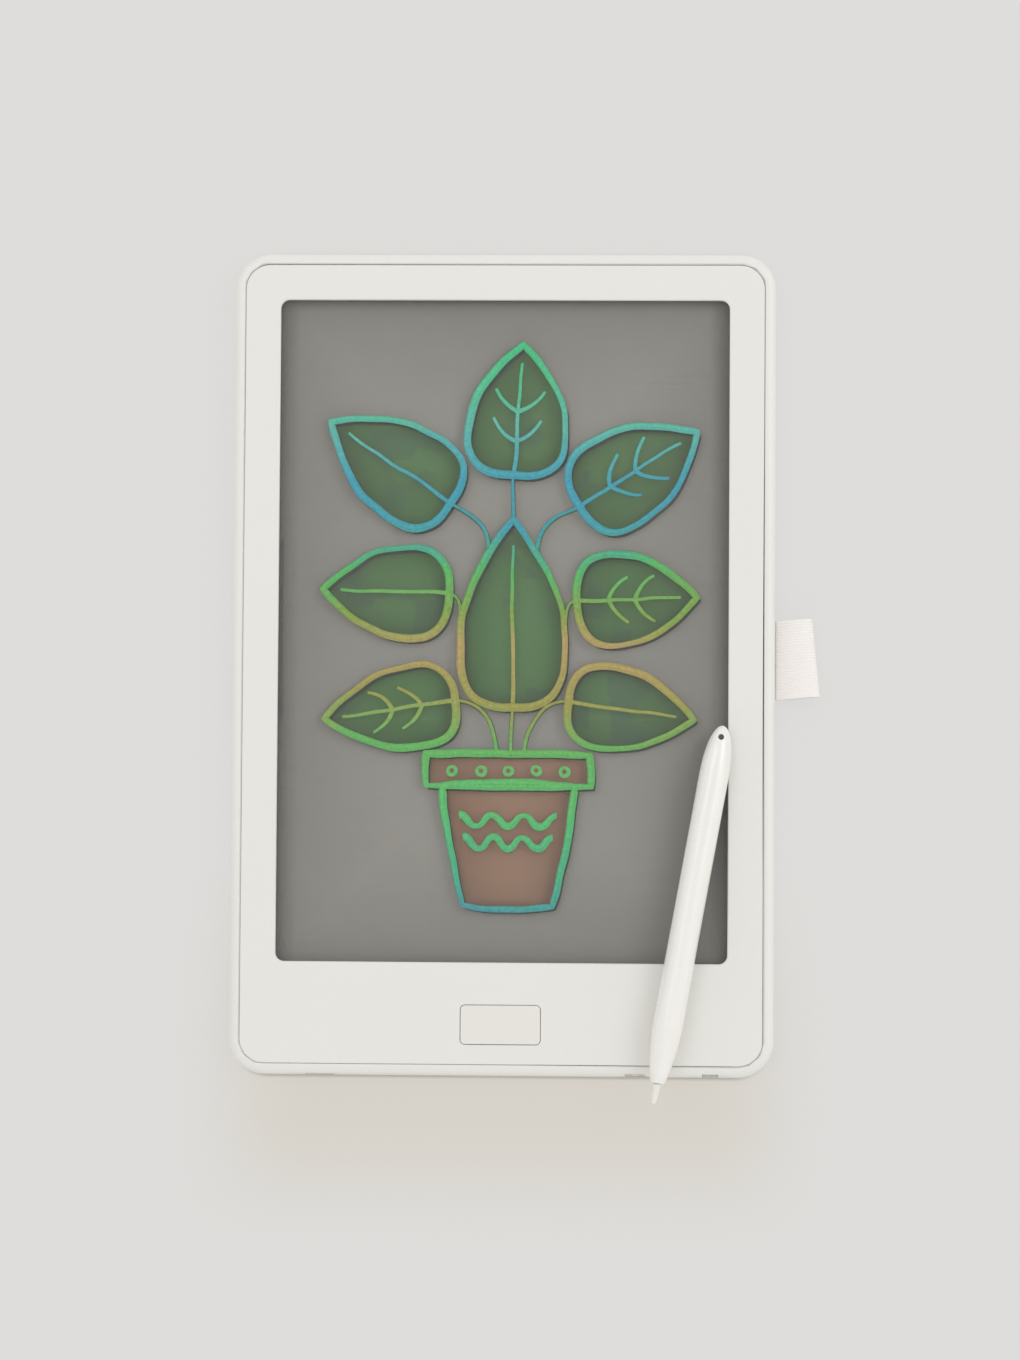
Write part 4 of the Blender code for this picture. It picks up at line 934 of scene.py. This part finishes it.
@dataclass(frozen=True)
class Outline:
    """A smooth line, open or closed, through knots: each a point and its two handles."""

    knots: tuple[tuple[Vector, Vector, Vector], ...]
    closed: bool = True
    swell_pace: float = 2.4

    def draw(self, curve: bpy.types.Curve, weight: float) -> None:
        """Add the line to a curve.

        Args:
            curve: The curve data.
            weight: How much the line swells and thins along its way.
        """
        spline = curve.splines.new("BEZIER")
        spline.bezier_points.add(len(self.knots) - 1)
        spline.use_cyclic_u = self.closed
        for index, (place, knot) in enumerate(zip(spline.bezier_points, self.knots)):
            place.handle_left_type = place.handle_right_type = "FREE"
            place.co, place.handle_left, place.handle_right = knot
            place.radius = 1 + weight * math.cos(self.swell_pace * index)


def flat(x: float, y: float) -> Vector:
    """A place on the picture, given in millimetres."""
    return Vector((x * MM, y * MM, 0.0))


def drawn(
    at: Callable[[float, float], Vector], rows: Iterable[Sequence[float]], closed: bool = False
) -> Outline:
    """A line through knots, each given as a row of six numbers: its point and two handles."""
    knots = (tuple(at(*row[start:start + 2]) for start in (0, 2, 4)) for row in rows)
    return Outline(tuple(knots), closed)


def bowed(corners: Sequence[Vector], bulge: float) -> Outline:
    """A closed line through corners, whose sides bow out.

    Args:
        corners: The corners, anticlockwise.
        bulge: How far each side's handles bow out.

    Returns:
        The outline.
    """
    knots = []
    for index, corner in enumerate(corners):
        handles = []
        for turn in (-1, 1):
            side = corners[(index + turn) % len(corners)] - corner
            out = Vector((side.y, -side.x, 0.0)).normalized() * bulge
            handles.append(corner + side / 3 + out * turn)
        knots.append((corner, *handles))
    return Outline(tuple(knots))


@dataclass(frozen=True)
class Leaf:
    """One broad leaf on its stem, in millimetres and degrees."""

    base: tuple[float, float]
    length: float
    width: float
    turn: float
    root: tuple[float, float]
    rib_reach: float = 0.86
    vein_starts: tuple[float, float] = (0.26, 0.48)
    vein_reach: float = 0.26

    def way(self) -> Vector:
        """The way from the base to the tip."""
        turn = math.radians(self.turn)
        return Vector((math.sin(turn), math.cos(turn), 0.0))

    def at(self, along: float, across: float) -> Vector:
        """A place in the leaf, in shares of its length and width."""
        way, run, side = self.way(), along * self.length * MM, across * self.width * MM
        return flat(*self.base) + way * run + Vector((way.y, -way.x, 0.0)) * side

    def edge(self) -> Outline:
        """The leaf's outline, from its base round to its tip and back."""
        return drawn(self.at, (
            (0, 0, -0.02, -0.52, -0.02, 0.52), (0.46, 0.5, 0.20, 0.56, 0.66, 0.46),
            (1, 0, 0.90, 0.16, 0.90, -0.16), (0.46, -0.5, 0.66, -0.46, 0.20, -0.56),
        ), closed=True)

    def rib(self) -> Outline:
        """The middle rib."""
        end = self.rib_reach
        return drawn(self.at, ((0, 0, 0, 0, end / 3, 0.04), (end, 0, 2 * end / 3, -0.03, end, 0)))

    def side_veins(self) -> list[Outline]:
        """The veins that leave the middle rib on both sides."""
        sides = [(start, side * self.vein_reach) for start in self.vein_starts for side in (-1, 1)]
        return [drawn(self.at, (
            (start, 0, start, 0, start + 0.03, out / 2),
            (start + 0.17, out, start + 0.10, out * 0.8, start + 0.17, out),
        )) for start, out in sides]

    def stem(self) -> Outline:
        """The stem, from its root to the leaf's base.

        Returns:
            The outline.
        """
        root, base = flat(*self.root), flat(*self.base)
        length = (base - root).length
        rise = Vector((0.0, 1.0, 0.0)) * length / 2
        entry = base - self.way() * length / 3
        return Outline(((root, root, root + rise), (base, entry, base)), closed=False)


@dataclass(frozen=True)
class Layer(Piece):
    """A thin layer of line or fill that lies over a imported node, in millimetres.

    Its lines have a radius, and a radius of zero fills its outlines. Its weight is how much the
    lines swell and thin along their way.
    """

    outlines: Sequence[Outline] = ()
    ground: str = ""
    height: float = 0.0
    radius: float = 0.0
    level: float = 0.0
    shift: tuple[float, float] = (0.0, 0.0)
    weight: float = 0.0
    wobble_size: float = 9 * MM
    wobble_reach: float = 0.55 * MM

    def build(self) -> None:
        """Draw the outlines and lay them on their ground."""
        filled, height = self.radius == 0, self.height * MM
        curve = bpy.data.curves.new(self.name, "CURVE")
        curve.resolution_u = 16
        curve.dimensions = "2D" if filled else "3D"
        curve.fill_mode = "BOTH" if filled else "FULL"
        if filled:
            curve.extrude = height / 2
        else:
            curve.bevel_depth = self.radius * MM
            curve.bevel_resolution = 3
            curve.use_fill_caps = True
        for outline in self.outlines:
            outline.draw(curve, self.weight)
        item = loose_object(self.name + "_curve", curve)
        bm = bmesh.new()
        bm.from_mesh(evaluated_mesh(item))
        bpy.data.objects.remove(item, do_unlink=True)
        bmesh.ops.remove_doubles(bm, verts=bm.verts, dist=WELD)
        squeeze = 1.0 if filled else height / (2 * self.radius * MM)
        bmesh.ops.scale(bm, vec=(1.0, 1.0, squeeze), verts=bm.verts)
        right, up = self.shift
        lift = Vector((right * MM, up * MM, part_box(self.ground)[1].z + self.level * MM))
        for vert in bm.verts:
            sway = noise.noise_vector(vert.co.xy.to_3d() / self.wobble_size) * self.wobble_reach
            vert.co += Vector((sway.x, sway.y, 0.0)) + lift
        self.fit(bm)


@dataclass(frozen=True)
class PottedPlant:
    """The picture: a potted plant, printed on the card and traced on the film."""

    leaves: tuple[Leaf, ...] = (
        Leaf((3.0, 60.0), 42.0, 30.0, 4.0, (3.0, 46.0)),
        Leaf((-17.0, 51.0), 46.0, 29.0, -56.0, (-5.0, 36.0)),
        Leaf((24.0, 50.5), 44.0, 29.0, 58.0, (11.0, 36.0)),
        Leaf((-17.5, 22.0), 40.0, 28.0, -88.0, (-13.5, 8.0)),
        Leaf((23.5, 20.0), 38.0, 28.0, 88.0, (19.5, 6.0)),
        Leaf((3.0, -14.0), 60.0, 32.0, 0.0, (2.5, -29.5)),
        Leaf((-15.0, -12.0), 42.0, 25.0, -98.0, (-2.0, -29.5)),
        Leaf((21.0, -12.0), 40.0, 25.0, 98.0, (7.0, -29.5)),
    )
    rim: tuple[tuple[float, float], ...] = ((-24, -29), (-24, -39), (28, -39), (28, -29))
    rim_bulge: float = 0.5 * MM
    bowl: tuple[tuple[float, float], ...] = ((-19, -39), (-12, -77), (16, -77), (23, -39))
    bowl_bulge: float = 1.3 * MM
    middle: float = 2.0
    waves: tuple[tuple[float, float], ...] = ((-50.0, 15.5), (-57.0, 14.2))
    wave_height: float = 1.8
    wave_count: int = 6
    spot_count: int = 5
    spot_pitch: float = 9.0
    spot_level: float = -34.2
    spot_radius: float = 1.3
    spot_handle: float = 0.72

    def bowl_waves(self) -> list[Outline]:
        """The wavy lines round the bowl.

        Returns:
            The lines.
        """
        lines = []
        for level, reach in self.waves:
            rows = []
            step = reach / self.wave_count
            for index in range(self.wave_count + 1):
                x = self.middle - reach + 2 * reach * index / self.wave_count
                y = level + self.wave_height * (-1) ** index
                rows.append((x, y, x - step, y, x + step, y))
            lines.append(drawn(flat, rows))
        return lines

    def spots(self) -> list[Outline]:
        """The small round spots on the pot's rim.

        Returns:
            The circles.
        """
        circles = []
        arm = self.spot_handle
        for index in range(self.spot_count):
            middle = self.middle + self.spot_pitch * (index - self.spot_count // 2)
            rows = []
            for right, up in ((1, 0), (0, 1), (-1, 0), (0, -1)):
                x, y = middle + self.spot_radius * right, self.spot_level + self.spot_radius * up
                rows.append(
                    (x, y, x + arm * up, y - arm * right, x - arm * up, y + arm * right)
                )
            circles.append(drawn(flat, rows, closed=True))
        return circles

    def build(self) -> None:
        """Print the picture on the card and trace it on the film."""
        leaves = [leaf.edge() for leaf in self.leaves]
        stems = [leaf.stem() for leaf in self.leaves]
        rim = bowed([flat(*corner) for corner in self.rim], self.rim_bulge)
        bowl = bowed([flat(*corner) for corner in self.bowl], self.bowl_bulge)
        veins = [vein for leaf in self.leaves[::2] for vein in leaf.side_veins()]
        fine = [leaf.rib() for leaf in self.leaves] + self.spots() + veins
        shapes = [*leaves, rim, bowl]
        traced = shapes + self.bowl_waves()
        still = (0.0, 0.0)
        card = (Body.CARD, Slot.CARD, "picture_card", 0.02)
        film = (Body.TABLET, Slot.FILM, "lcd_film", 0.04)
        for name, finish, (body, slot, ground, height), outlines, radius, level, shift, weight in (
            ("printed_stems", "leaf_green_ink", card, stems, 0.75, 0.03, still, 0.0),
            ("printed_leaves", "leaf_green_ink", card, leaves, 0.0, 0.06, still, 0.0),
            ("printed_bowl", "clay_brown_ink", card, [bowl], 0.0, 0.09, still, 0.0),
            ("printed_rim", "clay_brown_ink", card, [rim], 0.0, 0.12, still, 0.0),
            ("printed_outlines", "dark_line_ink", card, shapes, 0.45, 0.16, (0.90, -1.00), 0.3),
            ("traced_lines", "written_line", film, traced, 1.1, 0.010, still, 0.24),
            ("traced_cores", "written_line_core", film, traced, 0.5, 0.035, (-0.22, 0.22), 0.4),
            ("traced_stems", "written_line", film, stems, 0.5, 0.008, still, 0.2),
            ("traced_veins", "written_line_core", film, fine, 0.55, 0.012, still, 0.25),
        ):
            Layer(
                name, finish, body, slot, (), outlines, ground, height, radius, level, shift, weight
            ).build()


@dataclass(frozen=True)
class PenLoop:
    """The grosgrain loop at the right edge, one band whose ends lie in the shell's slot."""

    width: float = 25.0 * MM
    thickness: float = 0.8 * MM
    layer_gap: float = 0.1 * MM
    middle_y: float = 1.2 * MM
    middle_z: float = 4.1 * MM
    wall_x: float = 86.3 * MM
    tail_x: float = 79.6 * MM
    reach_top: float = 11.8 * MM
    reach_bottom: float = 14.3 * MM
    height: float = 6.2 * MM
    rise: float = 1.3 * MM
    fullness: float = 0.77
    rib: float = 0.9 * MM
    groove_share: float = 0.74
    steps_along: int = 120
    steps_per_rib: int = 6
    sway_size: float = 7 * MM
    sway_start: float = 2 * MM
    sway_share: float = 0.09

    def middle_line(self, reach: float) -> list[Vector]:
        """The ribbon's middle line: in one tail, round the loop and out the other.

        Args:
            reach: How far the loop stands out.

        Returns:
            The line's points.
        """
        layer = (self.thickness + self.layer_gap) / 2
        points = [Vector((self.tail_x, 0, self.middle_z + layer))]
        for index in range(self.steps_along + 1):
            turn = math.tau * index / self.steps_along
            full = math.sin(turn) * math.sin(turn / 2) / self.fullness
            x = self.wall_x + reach * (1 - math.cos(turn)) / 2
            z = self.middle_z + layer * math.cos(turn / 2) + self.height / 2 * full
            points.append(Vector((x, 0, z)))
        return [*points, Vector((self.tail_x, 0, self.middle_z - layer))]

    def even_line(self, points: Sequence[Vector]) -> tuple[list[Vector], float]:
        """Space points evenly along a line, one for each step along the ribbon.

        Args:
            points: The line.

        Returns:
            The even points and the line's length.
        """
        lengths = [0.0]
        for first, second in zip(points, points[1:]):
            lengths.append(lengths[-1] + (second - first).length)
        even = []
        index = 0
        for step in range(self.steps_along + 1):
            goal = lengths[-1] * step / self.steps_along
            while index < len(points) - 2 and lengths[index + 1] < goal:
                index += 1
            span = lengths[index + 1] - lengths[index]
            even.append(points[index].lerp(points[index + 1], (goal - lengths[index]) / span))
        return even, lengths[-1]

    def build(self) -> None:
        """Weave the loop and give it its cloth thickness."""
        across = round(self.width / self.rib) * self.steps_per_rib
        bm = bmesh.new()
        bmesh.ops.create_grid(bm, x_segments=self.steps_along, y_segments=across, size=HALF)
        uv = bm.loops.layers.uv.new(WEAVE)
        swell = bm.verts.layers.deform.verify()
        rows, lengths = [], []
        for row in range(across + 1):
            reach = self.reach_bottom + (self.reach_top - self.reach_bottom) * (row / across)
            points, length = self.even_line(self.middle_line(reach - self.thickness / 2))
            rows.append(points)
            lengths.append(length)
        flat_length = sum(lengths) / len(lengths)
        for face in bm.faces:
            for loop in face.loops:
                place = loop.vert.co
                loop[uv].uv = ((place.x + HALF) * flat_length, (place.y + HALF) * self.width)
        for vert in bm.verts:
            column = round((vert.co.x + HALF) * self.steps_along)
            row = round((vert.co.y + HALF) * across)
            here = rows[row][column]
            out = max(here.x - self.wall_x, 0.0)
            lean = self.rise * out / self.reach_bottom
            y = self.middle_y + (row / across - HALF) * self.width + lean
            sway = noise.noise(Vector((here.x, y, here.z)) / self.sway_size)
            sway *= min(out, self.sway_start) * self.sway_share
            vert.co = (here.x, y, here.z + sway)
            vert[swell][0] = HALF - HALF * math.cos(math.tau * row / self.steps_per_rib)
        band = Piece(
            "ribbon_pen_loop", "cream_grosgrain", Body.TABLET, Slot.RIBBON, ("pen_loop",)
        )
        piece = band.fit(bm)
        piece.vertex_groups.new(name="ribs")
        cloth = piece.modifiers.new("thickness", "SOLIDIFY")
        cloth.thickness = self.thickness
        cloth.offset = 0.0
        cloth.vertex_group = "ribs"
        cloth.thickness_vertex_group = self.groove_share


@dataclass(frozen=True)
class Stylus:
    """The pen: a turned barrel with a cord hole, and the nib that is pressed into it."""

    length: float = 121.0 * MM
    radius: float = 4.7 * MM
    straight_start: float = 24.3 * MM
    tail: float = 16.5 * MM
    nib_length: float = 6.8 * MM
    nib_tip: float = 0.8 * MM
    nib_base: float = 1.3 * MM
    nib_chamfer: float = 0.1 * MM
    nib_steps: int = 6
    shank_radius: float = 1.0 * MM
    shank_length: float = 6.0 * MM
    collar: float = 2.1 * MM
    collar_round: float = 0.18 * MM
    gap: float = 0.3 * MM
    hole_radius: float = 0.95 * MM
    hole_from_end: float = 3.8 * MM
    tip_place: tuple[float, float] = (48.4 * MM, -138.55 * MM)
    turn: float = math.radians(10.2)
    window_edge: float = -95.1 * MM
    face: float = 8.2 * MM
    film: float = 6.4 * MM
    nose_shares: tuple[tuple[float, float], ...] = (
        (0.0, 0.0), (0.04, 0.13), (0.22, 0.43), (0.41, 0.63), (0.60, 0.79), (0.80, 0.93),
        (1.0, 1.0),
    )
    nose_steps: int = 6
    tail_power: float = 2.2
    tail_steps: int = 16
    sides: int = 72

    def placement(self) -> Matrix:
        """Where the pen lies: across the window's lower edge, its tail on the film.

        Returns:
            The matrix that lays the upright pen there.
        """
        edge_along = (self.window_edge - self.tip_place[1]) / math.cos(self.turn)
        straight_end = self.length - self.tail
        dip = math.atan2(self.face - self.film, straight_end - edge_along)
        right, up, ahead = math.sin(self.turn), math.cos(self.turn), math.cos(dip)
        forward = Vector((right * ahead, up * ahead, -math.sin(dip)))
        sideways = Vector((up, -right, 0.0))
        matrix = Matrix((sideways, forward.cross(sideways), forward)).transposed().to_4x4()
        lift = self.face + (self.gap + self.radius) / math.cos(dip) + edge_along * math.tan(dip)
        matrix.translation = (*self.tip_place, lift)
        return matrix

    def barrel_line(self) -> list[Sequence[float]]:
        """The barrel's outline, from its tail to its collar and back up the nib's bore.

        Returns:
            The outline's radii and heights.
        """
        straight_end = self.length - self.tail
        line: list[Sequence[float]] = [(0, self.length)]
        for step in range(self.tail_steps - 1, -1, -1):
            share = math.sin(math.pi / 2 * step / self.tail_steps)
            radius = self.radius * math.sqrt(1 - share**self.tail_power)
            line.append((radius, straight_end + self.tail * share))
        line.append((self.radius, (straight_end + self.straight_start) / 2))
        nose = self.straight_start - self.nib_length
        swell = self.radius - self.collar
        line += bound_line([
            Vector((self.collar + swell * out, self.nib_length + nose * along))
            for along, out in reversed(self.nose_shares)
        ], self.nose_steps)
        bore = self.shank_radius + self.gap
        bore_end = self.nib_length + self.shank_length + self.gap
        line[-1:] = [
            (self.collar, self.nib_length + self.collar_round),
            (self.collar - self.collar_round, self.nib_length),
            (bore, self.nib_length), (bore, bore_end), (0, bore_end),
        ]
        return line

    def nib_line(self) -> list[Sequence[float]]:
        """The nib's outline, from its shank to its rounded tip.

        Returns:
            The outline's radii and heights.
        """
        shoulder = self.nib_length - self.gap
        line = [
            (0, self.nib_length + self.shank_length),
            (self.shank_radius, self.nib_length + self.shank_length),
            (self.shank_radius, shoulder), (self.nib_base - self.nib_chamfer, shoulder),
            (self.nib_base, shoulder - self.nib_chamfer),
        ]
        for step in range(self.nib_steps):
            angle = math.pi / 2 * step / self.nib_steps
            line.append((self.nib_tip * math.cos(angle), self.nib_tip * (1 - math.sin(angle))))
        return [*line, (0, 0)]

    def turned(self, line: Sequence[Sequence[float]]) -> bmesh.types.BMesh:
        """Spin an outline round the pen's own axis.

        Args:
            line: The outline's radii and heights.

        Returns:
            The closed shape, still upright at the origin.
        """
        bm = bmesh.new()
        verts = [bm.verts.new((radius, 0, height)) for radius, height in line]
        edges = [bm.edges.new(pair) for pair in zip(verts, verts[1:])]
        bmesh.ops.spin(
            bm, geom=verts + edges, cent=(0, 0, 0), axis=(0, 0, 1), dvec=(0, 0, 0),
            angle=math.tau, steps=self.sides, use_merge=True, use_duplicate=False,
        )
        bmesh.ops.remove_doubles(bm, verts=bm.verts, dist=WELD)
        bmesh.ops.recalc_face_normals(bm, faces=bm.faces)
        return bm

    def build(self) -> None:
        """Turn the barrel and the nib and lay them in place."""
        hole = bmesh.new()
        across = Matrix.Translation((0, 0, self.length - self.hole_from_end))
        bmesh.ops.create_cone(
            hole, cap_ends=True, cap_tris=False, segments=32, radius1=self.hole_radius,
            radius2=self.hole_radius, depth=4 * self.radius,
            matrix=across @ Matrix.Rotation(math.pi / 2, 4, "X"),
        )
        barrel = carved("pen_barrel_blank", self.turned(self.barrel_line()), hole)
        for name, bm, finish, node in (
            ("pen_barrel", barrel, "warm_pen_plastic", "stylus_barrel"),
            ("pen_nib", self.turned(self.nib_line()), "pen_tip_plastic", "stylus_nib"),
        ):
            bm.transform(self.placement())
            Piece(name, finish, Body.STYLUS, Slot.WARM_PLASTIC, (node,)).fit(bm, crisp=True)


@dataclass(frozen=True)
class Studio:
    """The floor, the soft light and the camera."""

    floor_size: float = 12.0
    lamps: tuple[tuple[str, tuple[float, float, float], float, float], ...] = (
        ("window_light", (2.4, 0.8, 2.6), 1.9, 25.0),
        ("fill_light", (-1.8, 1.6, 4.0), 2.0, 24.0),
    )
    lens: float = 99.66
    film_side: float = 36.0
    clip: tuple[float, float] = (0.01, 100.0)
    camera_place: tuple[float, float, float] = (0.0415, -0.0550, 1.2)
    camera_back: tuple[float, float, float] = (0.0328, -0.0416, 0.9986)
    camera_roll: float = math.radians(-0.39)

    def lay_floor(self) -> None:
        """Lay the pale floor."""
        bm = bmesh.new()
        bmesh.ops.create_grid(bm, x_segments=4, y_segments=4, size=self.floor_size / 2)
        floor = loose_object("studio_floor", mesh_of("studio_floor", bm))
        floor.data.materials.append(bpy.data.materials["pale_studio_paper"])

    def light(self) -> None:
        """Set the sky and the two soft lamps, each with its name, place, size and power."""
        sky = SoftSky("studio_sky")
        sky.paint()
        bpy.context.scene.world = sky.block
        for name, place, size, power in self.lamps:
            lamp = bpy.data.lights.new(name, "AREA")
            lamp.shape, lamp.size, lamp.energy = "SQUARE", size, power
            item = loose_object(name, lamp)
            item.location = place
            item.rotation_euler = (-Vector(place)).to_track_quat("-Z", "Y").to_euler()

    def aim(self) -> None:
        """Stand the camera at the photograph's place."""
        data = bpy.data.cameras.new("camera")
        data.lens, data.sensor_width, data.sensor_fit = self.lens, self.film_side, "AUTO"
        data.clip_start, data.clip_end = self.clip
        camera = loose_object("camera", data)
        back = Vector(self.camera_back).normalized()
        up = Vector((math.tan(self.camera_roll), 1.0, 0.0))
        right = up.cross(back).normalized()
        matrix = Matrix((right, back.cross(right), back)).transposed().to_4x4()
        matrix.translation = self.camera_place
        camera.matrix_world = matrix
        bpy.context.scene.camera = camera

    def build(self) -> None:
        """Set up the whole studio."""
        bpy.context.scene.view_settings.view_transform = "Standard"
        self.lay_floor()
        self.light()
        self.aim()


def main() -> None:
    """Build the finishes, the studio and every sub-assembly."""
    logging.basicConfig(level=logging.INFO, format="%(message)s")
    noise.seed_set(NOISE_SEED)
    paint_finishes()
    for part in (Studio(), Housing(), InnerParts(), PottedPlant(), PenLoop(), Stylus()):
        LOG.info("building %s", type(part).__name__)
        part.build()


if __name__ == "__main__":
    main()
